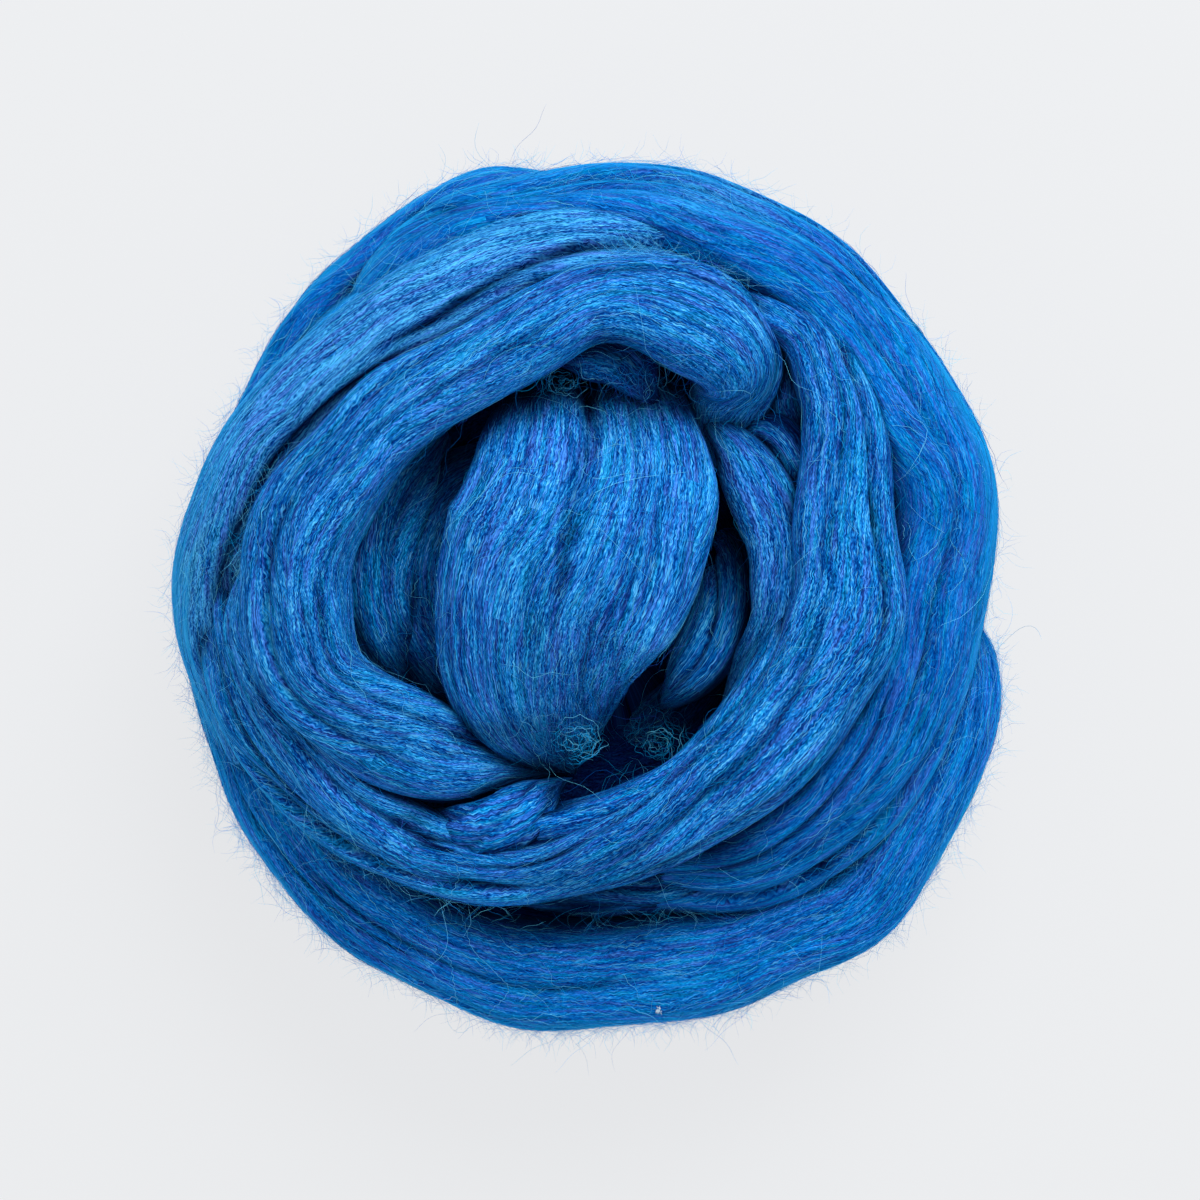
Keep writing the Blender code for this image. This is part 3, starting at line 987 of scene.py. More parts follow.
@dataclass
class FibreSet:
    """Single fibres: their points in mm, their radii in mm and their colours, with painted shade in
    those of laid fibres.
    """

    paths: Array
    radii: Array
    tints: Array

    def part(self, which: slice) -> "FibreSet":
        """Give some of the fibres."""
        return FibreSet(self.paths[which], self.radii[which], self.tints[which])

    @staticmethod
    def joined(sets: list["FibreSet"]) -> "FibreSet":
        """Join sets whose fibres have the same number of points."""
        parts = ([getattr(one, name) for one in sets] for name in ("paths", "radii", "tints"))
        return FibreSet(*(np.concatenate(part) for part in parts))

    def piece(self, name: str, material: Material) -> Piece:
        """Turn the fibres into one piece of thin three-sided tubes.

        Args:
            name: The piece's name.
            material: What they are dressed in.

        Returns:
            The new piece.
        """
        paths, sides = self.paths.copy(), FIBRE_SIDES
        paths[..., 2] = np.maximum(paths[..., 2], FIBRE_FLOOR)
        number, count = paths.shape[:2]
        ahead = unit(np.gradient(paths, axis=1))
        helper = unit(np.random.default_rng(number).normal(size=(number, 1, 3)))
        first = unit(np.cross(ahead, helper))
        second = np.cross(ahead, first)
        place = np.arange(count)
        taper = np.minimum(1.0, 0.3 + 0.3 * np.minimum(place, place[::-1]))
        reach = (self.radii[:, None] * taper[None])[..., None]
        turns = 2 * math.pi * np.arange(sides) / sides
        rings = [
            paths + (first * math.cos(turn) + second * math.sin(turn)) * reach for turn in turns
        ]
        points = np.stack(rings, 2).reshape(-1, 3)
        start = (np.arange(number) * count * sides)[:, None, None]
        near = start + (np.arange(count - 1) * sides)[None, :, None]
        side = np.arange(sides)[None, None, :]
        after, far = (side + 1) % sides, near + sides
        quads = np.stack([near + side, near + after, far + after, far + side], -1).reshape(-1, 4)
        tips = start[:, 0] + np.concatenate([[2, 1, 0], (count - 1) * sides + np.arange(3)])
        faces = [*quads.tolist(), *tips[:, :3].tolist(), *tips[:, 3:].tolist()]
        piece = mesh_piece(name, points, faces, material)
        colours = np.concatenate([self.tints, np.ones((number, 1))], 1)
        layer = piece.data.color_attributes.new(TINT_AND_SHADE, "FLOAT_COLOR", "POINT")
        layer.data.foreach_set("color", np.repeat(colours, count * sides, axis=0).ravel())
        cells = math.ceil(math.sqrt(number))
        whose = np.repeat(np.arange(number), (count - 1) * sides * 4)
        whose = np.append(whose, np.tile(np.repeat(np.arange(number), 3), 2))
        square = [[0.2, 0.2], [0.8, 0.2], [0.8, 0.8], [0.2, 0.8]]
        inside = np.tile(square, (len(quads), 1)), np.tile(square[:3], (2 * number, 1))
        cell = (np.stack([whose % cells, whose // cells], -1) + np.concatenate(inside)) / cells
        add_map(piece, BAKE_MAP, cell[:, 0], cell[:, 1])
        return piece


def draw_shades(rng: np.random.Generator, count: int, shares: dict[Shade, float]) -> Array:
    """Draw a colour for each fibre.

    Args:
        rng: The random numbers to draw with.
        count: How many fibres there are.
        shares: How common each shade is.

    Returns:
        The colours, slightly uneven within each shade.
    """
    shades = np.array([shade.value for shade in shares])
    weights = np.array(list(shares.values()), float)
    picks = rng.choice(len(shades), count, p=weights / weights.sum())
    return np.clip(shades[picks] * rng.uniform(0.75, 1.25, (count, 1)), 0.0, 1.0)


# How common each shade is among one kind of fibre.
LAID_SHADES = {
    Shade.NIGHT: 0.06, Shade.ROYAL: 0.22, Shade.SKY: 0.34, Shade.TEAL: 0.18, Shade.VIOLET: 0.08,
    Shade.FROST: 0.12,
}
STRAY_SHADES = {
    Shade.ROYAL: 0.25, Shade.SKY: 0.35, Shade.TEAL: 0.18, Shade.VIOLET: 0.07, Shade.FROST: 0.15,
}
RIM_SHADES = {Shade.SKY: 0.25, Shade.HAZE_AND_SHEEN: 0.25, Shade.FROST: 0.5}
HAZE_SHADES = {Shade.SKY: 0.4, Shade.TEAL: 0.3, Shade.HAZE_AND_SHEEN: 0.2, Shade.FROST: 0.1}
WHORL_SHADES = {Shade.TEAL: 0.25, Shade.HAZE_AND_SHEEN: 0.5, Shade.FROST: 0.25}
LONE_SHADES = {Shade.FROST: 0.6, Shade.LINT: 0.4}
PALE_SHADES = {Shade.FROST: 0.5, Shade.SKY: 0.4, Shade.HAZE_AND_SHEEN: 0.1}


@dataclass(frozen=True)
class Lay:
    """One way in which fibres lie on the bands.

    length, radius, wave_length and lift are in mm, given as the least and the most. slant is how
    far in degrees fibres typically stray from the band's own direction, and wave is the height of
    their waves in mm.
    """

    count: int
    length: Range
    radius: Range
    slant: float
    wave: float
    wave_length: Range
    lift: Range
    shades: dict[Shade, float]


@dataclass(frozen=True)
class Fuzz:
    """One way in which fibres stand off the ball.

    length and radius are in mm. heading is the angle in degrees at which fibres leave the wool,
    and curl the spread of the angle they turn through. everywhere is how common they are outside
    the patches of loose fibres, from 0 to 1. lowest and steepest are how far down and up the wool
    there may look, and open_from is how much of the sky it has to see.
    """

    tries: int
    points: int
    length: Range
    radius: Range
    heading: Range
    curl: float
    everywhere: float
    steepest: float
    lowest: float = -0.35
    open_from: float = 0.25


@dataclass(frozen=True)
class Drape:
    """Loose fibres that lie over the wool round one spot and bridge its gaps.

    Places and lengths are in mm, angles in degrees. bearing is the direction in which they run,
    or None where they follow the ball round, and spread is how far they stray from it.
    """

    x: float
    y: float
    reach_x: float
    reach_y: float
    count: int
    length: Range
    bearing: float | None
    spread: float
    shades: dict[Shade, float]
    curl: float = 70.0
    radius: Range = (0.02, 0.04)


def curled(
    frame: tuple, heading: Array, curl: Array, twist: Array, length: Array, points: int,
) -> Array:
    """Run fibres off a surface in arcs.

    Args:
        frame: Where each fibre leaves the surface, and the directions along the band, off the
            surface and across the band there.
        heading: The angle at which it leaves, in radians.
        curl: How far it turns over its length, in radians.
        twist: How far it drifts aside, as a share of its length.
        length: Its length in mm.
        points: How many points it gets.

    Returns:
        The fibres' points.
    """
    start, ahead, up, side = (part[:, None] for part in frame)
    steps = np.linspace(0.0, 1.0, points)
    angle = heading[:, None] + curl[:, None] * steps[None] + 0.25 * np.sin(9.0 * steps)[None]
    go = np.cos(angle)[..., None] * ahead + np.sin(angle)[..., None] * up
    go = go + twist[:, None, None] * side
    path = np.cumsum(go * (length / (points - 1))[:, None, None], axis=1)
    path = start - 0.2 * up + path - path[:, :1]
    path[..., 2] = np.maximum(path[..., 2], FIBRE_FLOOR)
    return path


@dataclass
class Dresser:
    """Lays single fibres on the bands and lets some stand off them.

    Fibres have so many points. look_from is the height in mm from which the wool is felt for, and
    sag how far in mm a draped fibre may hang below the straight line between its ends.
    """

    bands: list[tuple[Band, Skin]]
    tree: BVHTree
    points: int = 10
    whorl_points: int = 13
    lone_points: int = 37
    look_from: float = 150.0
    sag: float = 1.5
    seed: int = 7

    def __post_init__(self) -> None:
        """Start the random numbers and weigh the bands by how much of them shows."""
        self.rng = np.random.default_rng(self.seed)
        shown = [
            skin.along[-1] * np.ptp(skin.arc) * skin.openness.mean() * band.fibre_share
            for band, skin in self.bands
        ]
        self.weights = np.array(shown) / np.sum(shown)

    def lay(self, kind: Lay) -> FibreSet:
        """Lay one kind of fibre over all the bands.

        Args:
            kind: How the fibres lie.

        Returns:
            The fibres.
        """
        rng, paths, tints = self.rng, [], []
        picks = rng.choice(len(self.bands), kind.count, p=self.weights)
        for index, (_, skin) in enumerate(self.bands):
            number = int((picks == index).sum())
            if number == 0:
                continue
            t = np.linspace(-0.5, 0.5, self.points)[None]
            length = rng.uniform(*kind.length, (number, 1))
            along = rng.uniform(0.02, 0.98, (number, 1)) * skin.along[-1]
            arc = rng.uniform(0.85 * skin.arc[0], 0.85 * skin.arc[-1], (number, 1))
            slant = np.tan(np.radians(rng.normal(0.0, kind.slant, (number, 1))))
            waves = length / rng.uniform(*kind.wave_length, (number, 1))
            phase = rng.uniform(0, 2 * math.pi, (number, 1))
            swing = 2 * math.pi * waves * t + phase
            wave = kind.wave * rng.uniform(0.4, 1.3, (number, 1)) * np.sin(swing)
            bend = rng.normal(0.0, kind.slant * 0.02, (number, 1)) * length * (t * 2) ** 2
            on_along = along + length * t
            row = np.searchsorted(skin.along, along[:, 0])
            lock = skin.lock[row, np.searchsorted(skin.arc, arc[:, 0])]
            course = skin.follow(lock, on_along) - skin.follow(lock, along)
            on_arc = arc + course + slant * length * t + wave + bend
            inside = ((on_along > 1) & (on_along < skin.along[-1] - 1)).all(1)
            seen = skin.read(skin.openness, along, arc)[:, 0]
            keep = inside & (seen > rng.uniform(0.05, 0.5, number))
            spot = skin.read(skin.points, on_along[keep], on_arc[keep])
            up = skin.read(skin.normals, on_along[keep], on_arc[keep])
            lift = rng.uniform(*kind.lift, (keep.sum(), 1)) * (t + 0.5) ** 2
            rise = 0.06 + lift + 0.35 * kind.wave * np.abs(np.cos(swing[keep]))
            paths.append(spot + up * rise[..., None])
            # A laid fibre's colour is painted darker where the wool under it sees little of the
            # sky.
            tints.append(draw_shades(rng, len(spot), kind.shades) * lit(seen[keep])[:, None])
        paths = np.concatenate(paths)
        return FibreSet(paths, rng.uniform(*kind.radius, len(paths)), np.concatenate(tints))

    def height_at(self, x: float, y: float) -> float:
        """Give the height in mm of the wool below a spot, or of the floor."""
        hit = self.tree.ray_cast(Vector((x, y, self.look_from)), Vector((0.0, 0.0, -1.0)))
        return hit[0].z if hit[0] else 0.0

    def settle(self, plan: Array, lift: float) -> Array:
        """Lower fibres onto the wool so that they bridge its gaps.

        Args:
            plan: The fibres' points seen from above, in mm.
            lift: How far they lie off the wool, in mm.

        Returns:
            The fibres' points with their heights.
        """
        below = np.array([[self.height_at(x, y) for x, y in line] for line in plan])
        share = np.linspace(0, 1, plan.shape[1])[None]
        chord = below[:, :1] + (below[:, -1:] - below[:, :1]) * share
        height = np.maximum(below, chord - self.sag) + lift
        for _ in range(2):
            middle = (height[:, :-2] + 2 * height[:, 1:-1] + height[:, 2:]) / 4
            height[:, 1:-1] = np.maximum(middle, below[:, 1:-1] + 0.5 * lift)
        return np.concatenate([plan, height[..., None]], -1)

    def drape(self, kind: Drape) -> FibreSet:
        """Let loose fibres lie over the wool round one spot.

        Args:
            kind: Where and how they lie.

        Returns:
            The fibres.
        """
        rng, points = self.rng, self.points
        x = kind.x + kind.reach_x * rng.normal(size=kind.count)
        y = kind.y + kind.reach_y * rng.normal(size=kind.count)
        round_ball = np.degrees(np.arctan2(y, x)) + 90.0
        bearing = round_ball if kind.bearing is None else kind.bearing
        bearing = bearing + kind.spread * rng.normal(size=kind.count)
        t = np.linspace(-0.5, 0.5, points)[None]
        length = rng.uniform(*kind.length, (kind.count, 1))
        wander = np.radians(rng.normal(0.0, kind.curl, (kind.count, 1)))
        waves = rng.uniform(5.0, 14.0, (kind.count, 1)) * t
        turn = np.radians(bearing)[:, None] + wander * t
        turn = turn + 0.5 * np.sin(waves + rng.uniform(0, 6, (kind.count, 1)))
        step = length / (points - 1)
        plan = np.stack([np.cumsum(np.cos(turn) * step, 1), np.cumsum(np.sin(turn) * step, 1)], -1)
        plan += np.stack([x, y], -1)[:, None] - plan.mean(1, keepdims=True)
        paths = self.settle(plan, 0.2)
        paths = paths[paths[..., 2].min(1) > DRAPE_FLOOR]
        radii = rng.uniform(*kind.radius, len(paths))
        return FibreSet(paths, radii, draw_shades(rng, len(paths), kind.shades))

    def whorl(self, middle: tuple[float, float, float], radius: float, count: int) -> FibreSet:
        """Curl loose fibres round a spot.

        Args:
            middle: The spot, in mm.
            radius: The whorl's radius, in mm.
            count: How many fibres it has.

        Returns:
            The fibres.
        """
        rng = self.rng
        first = rng.uniform(0, 2 * math.pi, (count, 1))
        share = np.linspace(0, 1, self.whorl_points)[None]
        angle = first + rng.uniform(1.2, 4.4, (count, 1)) * share
        off = rng.uniform(0.3, 1.2, (count, 1))
        off = off + rng.normal(0, 0.45, (count, 1)) * (angle - first) / 5
        ripple = np.sin(rng.uniform(4, 9, (count, 1)) * angle + rng.uniform(0, 6, (count, 1)))
        off = radius * off + 0.1 * radius * ripple
        centre = rng.normal(0, 0.3 * radius, (count, 1, 2))
        plan = np.stack([off * np.cos(angle), 0.85 * off * np.sin(angle)], -1) + centre
        height = rng.uniform(-0.3, 0.35, (count, 1)) * radius + 0.2 * radius * np.sin(angle + 1.0)
        paths = np.concatenate([plan, height[..., None]], -1) + np.array(middle)
        radii = rng.uniform(0.03, 0.055, count)
        return FibreSet(paths, radii, draw_shades(rng, count, WHORL_SHADES))

    def lone(self, routes: list[list[Range]]) -> FibreSet:
        """Lay single crimped fibres along given routes.

        Args:
            routes: The routes seen from above, in mm.

        Returns:
            The fibres.
        """
        rng, plans, points = self.rng, [], self.lone_points
        for route in routes:
            line = smooth_route([(x, y, 0.0) for x, y in route], 0.5)[:, :2]
            run = np.concatenate([[0.0], np.cumsum(np.linalg.norm(np.diff(line, axis=0), axis=1))])
            at = np.linspace(0.0, run[-1], points)
            plan = np.stack([np.interp(at, run, line[:, 0]), np.interp(at, run, line[:, 1])], -1)
            ahead = unit(np.gradient(plan, axis=0))
            crimp = 0.22 * np.sin(at * 2 * math.pi / CRIMP_LENGTH + rng.uniform(0, 6))
            crimp = crimp + rng.normal(0, 0.05, points)
            plans.append(plan + np.stack([-ahead[:, 1], ahead[:, 0]], -1) * crimp[:, None])
        paths = self.settle(np.array(plans), 0.35)
        paths[..., 2] = np.maximum(paths[..., 2], LONE_FLOOR)
        radii = rng.uniform(0.03, 0.048, len(paths))
        return FibreSet(paths, radii, draw_shades(rng, len(paths), LONE_SHADES))

    def fuzz(self, kind: Fuzz) -> FibreSet:
        """Let fibres stand off the ball's outer turns and curl away.

        Args:
            kind: How the fibres stand off.

        Returns:
            The fibres.
        """
        rng, paths = self.rng, []
        picks = rng.choice(len(self.bands), kind.tries, p=self.weights)
        for index, (_, skin) in enumerate(self.bands):
            number = int((picks == index).sum())
            along = rng.uniform(0.0, 1.0, number) * skin.along[-1]
            arc = rng.uniform(skin.arc[0], skin.arc[-1], number) * 0.9
            start = skin.read(skin.points, along, arc)
            up = skin.read(skin.normals, along, arc)
            seen = skin.read(skin.openness, along, arc)
            ahead = unit(skin.read(np.gradient(skin.points, axis=0), along, arc))
            ahead = ahead * rng.choice([-1, 1], (number, 1))
            bearing = np.degrees(np.arctan2(start[:, 1], start[:, 0])) % 360
            patch = np.full(number, kind.everywhere)
            for middle, reach, weight in FUZZ_PATCHES:
                away = np.abs((bearing - middle + 180) % 360 - 180)
                patch = np.maximum(patch, weight * np.exp(-((away / reach) ** 2)))
            outer = (np.hypot(start[:, 0], start[:, 1]) > FUZZ_FROM) & (start[:, 2] > FUZZ_ABOVE)
            outer &= (up[:, 2] > kind.lowest) & (up[:, 2] < kind.steepest)
            keep = outer & (seen > kind.open_from) & (rng.uniform(0, 1, number) < patch)
            side = unit(np.cross(ahead, up))
            heading = np.radians(rng.uniform(*kind.heading, number))[keep]
            curl = np.radians(rng.normal(-0.35 * kind.curl, kind.curl, number))[keep]
            twist = rng.normal(0, 0.35, number)[keep]
            length = rng.uniform(*kind.length, number)[keep]
            frame = (start[keep], ahead[keep], up[keep], side[keep])
            paths.append(curled(frame, heading, curl, twist, length, kind.points))
        paths = np.concatenate(paths)
        tints = draw_shades(rng, len(paths), RIM_SHADES)
        return FibreSet(paths, rng.uniform(*kind.radius, len(paths)), tints)


def lit(openness: Array) -> Array:
    """Give the share of a fibre's own colour that painted shade leaves where it sees so much of the
    sky.
    """
    return LEAST_LIT + (1.0 - LEAST_LIT) * smooth_share(openness, OPEN_DARK, OPEN_LIGHT)


FUZZ_FROM, FUZZ_ABOVE = 66.0, 14.0  # mm from the ball's middle, and above the floor

# Where loose fibres stand off the ball's rim: a bearing and a reach in degrees, and how thickly.
FUZZ_PATCHES = [
    (78.0, 22.0, 1.0), (30.0, 16.0, 0.8), (272.0, 28.0, 0.9), (220.0, 12.0, 1.0),
    (135.0, 20.0, 0.35),
]

# The fibres that lie on the bands.
LAYS = {
    "laid_fibres": Lay(
        count=9200, length=(5.0, 17.0), radius=(0.025, 0.05), slant=8.0, wave=0.2,
        wave_length=(2.2, 4.5), lift=(0.0, 0.3), shades=LAID_SHADES,
    ),
    "stray_fibres": Lay(
        count=900, length=(8.0, 22.0), radius=(0.025, 0.045), slant=22.0, wave=0.5,
        wave_length=(4.0, 9.0), lift=(0.3, 2.2), shades=STRAY_SHADES,
    ),
}

# The fibres that stand off them.
FUZZES = {
    "rim_fuzz": Fuzz(
        tries=4200, points=13, length=(5.0, 17.0), radius=(0.016, 0.034), heading=(8, 55),
        curl=90.0, everywhere=0.15, steepest=0.75,
    ),
    "rim_nap": Fuzz(
        tries=120000, points=6, length=(2.5, 8.0), radius=(0.016, 0.03), heading=(8, 50),
        curl=45.0, everywhere=0.5, steepest=0.5,
    ),
}

# Where loose fibres lie over the wool, from above. The last row is a speck of lint.
DRAPES = [
    Drape(0, 0, 45, 45, 620, (6, 20), None, 22, STRAY_SHADES),
    Drape(1, 42, 12, 2.5, 110, (3, 10), 90, 50, STRAY_SHADES),
    Drape(16, 43, 6, 3.5, 70, (3, 8), 60, 60, STRAY_SHADES),
    Drape(-1, -31, 8, 4, 150, (3, 9), 90, 55, WHORL_SHADES),
    Drape(14, -30, 6, 4, 80, (3, 8), 0, 70, WHORL_SHADES),
    Drape(-33, -1, 3, 11, 50, (3, 8), 30, 50, STRAY_SHADES),
    Drape(-7, -84, 26, 4, 230, (4, 14), 0, 38, HAZE_SHADES),
    Drape(-45, -72, 12, 9, 120, (4, 13), -35, 40, HAZE_SHADES),
    Drape(-81, 0, 4, 20, 120, (5, 15), 90, 20, PALE_SHADES),
    Drape(20, 84, 24, 4, 170, (4, 14), -10, 35, HAZE_SHADES),
    Drape(74, 30, 6, 20, 150, (4, 13), -75, 28, HAZE_SHADES),
    Drape(30, 38, 5, 5, 60, (3, 9), 70, 35, HAZE_SHADES),
    Drape(13.4, -86.5, 0.3, 0.3, 16, (0.7, 1.4), 0, 90, {Shade.LINT: 1.0}, 300.0, (0.06, 0.1)),
]

# The whorls by the loose end's tip: a middle, a radius and a number of fibres.
WHORLS = [
    ((-3.9, -29.7, 70.0), 4.0, 30), ((13.2, -31.0, 56.0), 3.4, 16), ((-6.0, 43.0, 74.0), 3.0, 20),
]

# The pale crimped fibres low on the left and at the bottom, seen from above.
LONE_FIBRES = [
    [
        (-33, -72.6), (-32.4, -74.8), (-30, -75.4), (-29.4, -78.4), (-28.8, -82.9), (-28.5, -85),
        (-29.6, -88.5),
    ],
    [(-28.1, -54.5), (-27.5, -57.9), (-30.9, -64.5), (-30.9, -67.3)],
    [
        (-28.8, -65), (-27.1, -67.7), (-25.1, -73.3), (-20.4, -78.4), (-17.7, -82.2),
        (-21.3, -86.5), (-22.4, -89),
    ],
    [(-20.4, -65), (-19, -66), (-17.7, -67.5)],
    [(-12.8, -59.6), (-13.4, -61.5), (-13.2, -63.5)],
    [(-41.3, -80.1), (-37.9, -82.2), (-33.7, -85), (-28.8, -83.7)],
    [(-66.7, -60.3), (-63, -57.7), (-59.6, -55.8), (-55, -54.7), (-52.4, -54.3), (-51.1, -59.4)],
]


def surfaces_tree(skins: list[Skin]) -> BVHTree:
    """Gather all the surfaces, in mm, for sight lines."""
    points, faces, count = [], [], 0
    for skin in skins:
        grid = skin.points[::2]
        thinned = replace(skin, points=grid)
        points += grid.reshape(-1, 3).tolist()
        faces += (thinned.faces() + count).tolist()
        count += grid.shape[0] * grid.shape[1]
    return BVHTree.FromPolygons(points, faces)


def measure_openness(skin: Skin, tree: BVHTree) -> Array:
    """Measure how much of the sky each point of a surface sees.

    Args:
        skin: The surface.
        tree: All the surfaces.

    Returns:
        A share from 0 to 1 for each point.
    """
    index = np.arange(SIGHT_LINES) + 0.5
    height = np.sqrt(1.0 - index / SIGHT_LINES)
    flat = np.sqrt(index / SIGHT_LINES)
    turn = index * math.pi * (1 + math.sqrt(5))
    rows, columns = (
        np.unique(np.append(np.arange(0, len(places), SIGHT_EVERY), len(places) - 1))
        for places in (skin.along, skin.arc)
    )
    seen = np.zeros((len(rows), len(columns)))
    for i, row in enumerate(rows):
        for j, column in enumerate(columns):
            normal = skin.normals[row, column]
            start = Vector(skin.points[row, column] + SIGHT_START * normal)
            aside = unit(np.cross(normal, [0.31, 0.52, 0.79]))
            other = np.cross(normal, aside)
            total = 0.0
            for k in range(SIGHT_LINES):
                level = aside * math.cos(turn[k]) + other * math.sin(turn[k])
                sight = normal * height[k] + level * flat[k]
                hit = tree.ray_cast(start, Vector(sight), SIGHT_REACH)
                if hit[0] is None:
                    total += 1.0 if sight[2] > 0 else WALL_LIGHT
                else:
                    total += BOUNCED_LIGHT * (hit[3] / SIGHT_REACH) ** 2
            seen[i, j] = total / SIGHT_LINES
    across = np.array([np.interp(np.arange(len(skin.arc)), columns, line) for line in seen])
    return np.array([np.interp(np.arange(len(skin.along)), rows, line) for line in across.T]).T


def light_left(points: Array) -> Array:
    """Give the share of the light that the painted shade spots leave each point, above 1 where
    light is painted.
    """
    left = np.ones(points.shape[:-1])
    for shade_spot in SHADE_SPOTS:
        left *= 1.0 - shade_spot.at(points)
    return left


@dataclass
class WoundBall:
    """The ball: its heart and all its turns.

    The heart's outline is a list of radii and heights in mm, from the bottom to the top.
    """

    ring_steps: int = 16
    heart_steps: int = 96
    weld: float = 0.02
    heart_outline: tuple = (
        (0.0, 1.0), (34.0, 1.0), (51.0, 7.0), (66.0, 20.0), (72.0, 32.0), (68.0, 40.0),
        (57.0, 46.0), (45.0, 48.0), (37.0, 44.0), (29.0, 38.0), (20.0, 38.0), (0.0, 40.0),
    )
    bands: list[Band] = field(default_factory=list)

    def __post_init__(self) -> None:
        """List the ball's bands."""
        for index, ring in enumerate(BASE_RINGS):
            self.bands.append(Band(
                f"base_turn_{index + 1}", self.ring_rows(ring), seed=300 + index, step_along=3.2,
                step_on_face=1.0, end_taper=10.0, small_creases=14, fibre_share=0.35,
            ))
        for index, (name, rows) in enumerate(TURNS.items()):
            self.bands.append(Band(
                f"turn_{name}", rows, TURN_CREASES.get(name, []), seed=20 + index,
                bloom=TURN_BLOOM.get(name, 0.0), soft=TURN_SOFTNESS.get(name, 0.0),
                extra_shade=TURN_SHADE.get(name, 0.0),
            ))

    def ring_rows(self, ring: Ring) -> list[tuple]:
        """Give the sections of one full ring, whose last rows overlap its first."""
        rows = []
        for index in range(self.ring_steps + 2):
            angle = 2 * math.pi * index / self.ring_steps
            height = ring.height + ring.lean * math.cos(angle - math.radians(ring.leans_towards))
            x, y = ring.radius * math.cos(angle), ring.radius * math.sin(angle)
            rows.append((x, y, height, ring.width, ring.thickness))
        return rows

    def heart(self, material: Material) -> Piece:
        """Turn the heart, which closes the depth behind the turns.

        Args:
            material: What the heart is dressed in.

        Returns:
            The new piece.
        """
        outline = [(radius * MM, 0.0, height * MM) for radius, height in self.heart_outline]
        data = bpy.data.meshes.new("heart")
        data.from_pydata([outline[0]], [], [])
        piece = bpy.data.objects.new("heart", data)
        bpy.context.scene.collection.objects.link(piece)
        bpy.ops.object.select_all(action="DESELECT")
        piece.select_set(True)
        bpy.context.view_layer.objects.active = piece
        bpy.ops.object.mode_set(mode="EDIT")
        bpy.ops.mesh.select_all(action="SELECT")
        for start, end in zip(outline, outline[1:]):
            step = Vector(end) - Vector(start)
            bpy.ops.mesh.extrude_region_move(TRANSFORM_OT_translate={"value": step})
        bpy.ops.mesh.select_all(action="SELECT")
        bpy.ops.mesh.spin(
            steps=self.heart_steps, angle=2 * math.pi, center=(0, 0, 0), axis=(0, 0, 1),
        )
        bpy.ops.mesh.select_all(action="SELECT")
        bpy.ops.mesh.remove_doubles(threshold=self.weld * MM)
        bpy.ops.mesh.normals_make_consistent(inside=False)
        bpy.ops.object.mode_set(mode="OBJECT")
        bpy.ops.object.shade_smooth()
        data.materials.append(material)
        corners = np.zeros(len(data.loops), np.int32)
        data.loops.foreach_get("vertex_index", corners)
        places = np.zeros(len(data.vertices) * 3)
        data.vertices.foreach_get("co", places)
        at = places.reshape(-1, 3)[corners] / MM
        bearing = np.arctan2(at[:, 1], at[:, 0])
        add_map(piece, FIBRE_MAP, bearing * 60.0, at[:, 2])
        # The heart is painted in the darkest shade all over.
        add_numbers(piece, PAINTED_SHADE, np.ones(len(data.vertices)))
        return piece


# The turns that are seen from the side or below only.
BASE_RINGS = [
    Ring(radius=36.0, height=9.0, lean=2.0, leans_towards=140.0, width=27.0, thickness=17.0),
    Ring(radius=57.0, height=15.0, lean=4.0, leans_towards=20.0, width=30.0, thickness=17.0),
    Ring(radius=71.0, height=26.0, lean=5.0, leans_towards=230.0, width=28.0, thickness=17.0),
    Ring(radius=71.5, height=41.0, lean=9.0, leans_towards=95.0, width=27.0, thickness=18.0),
]

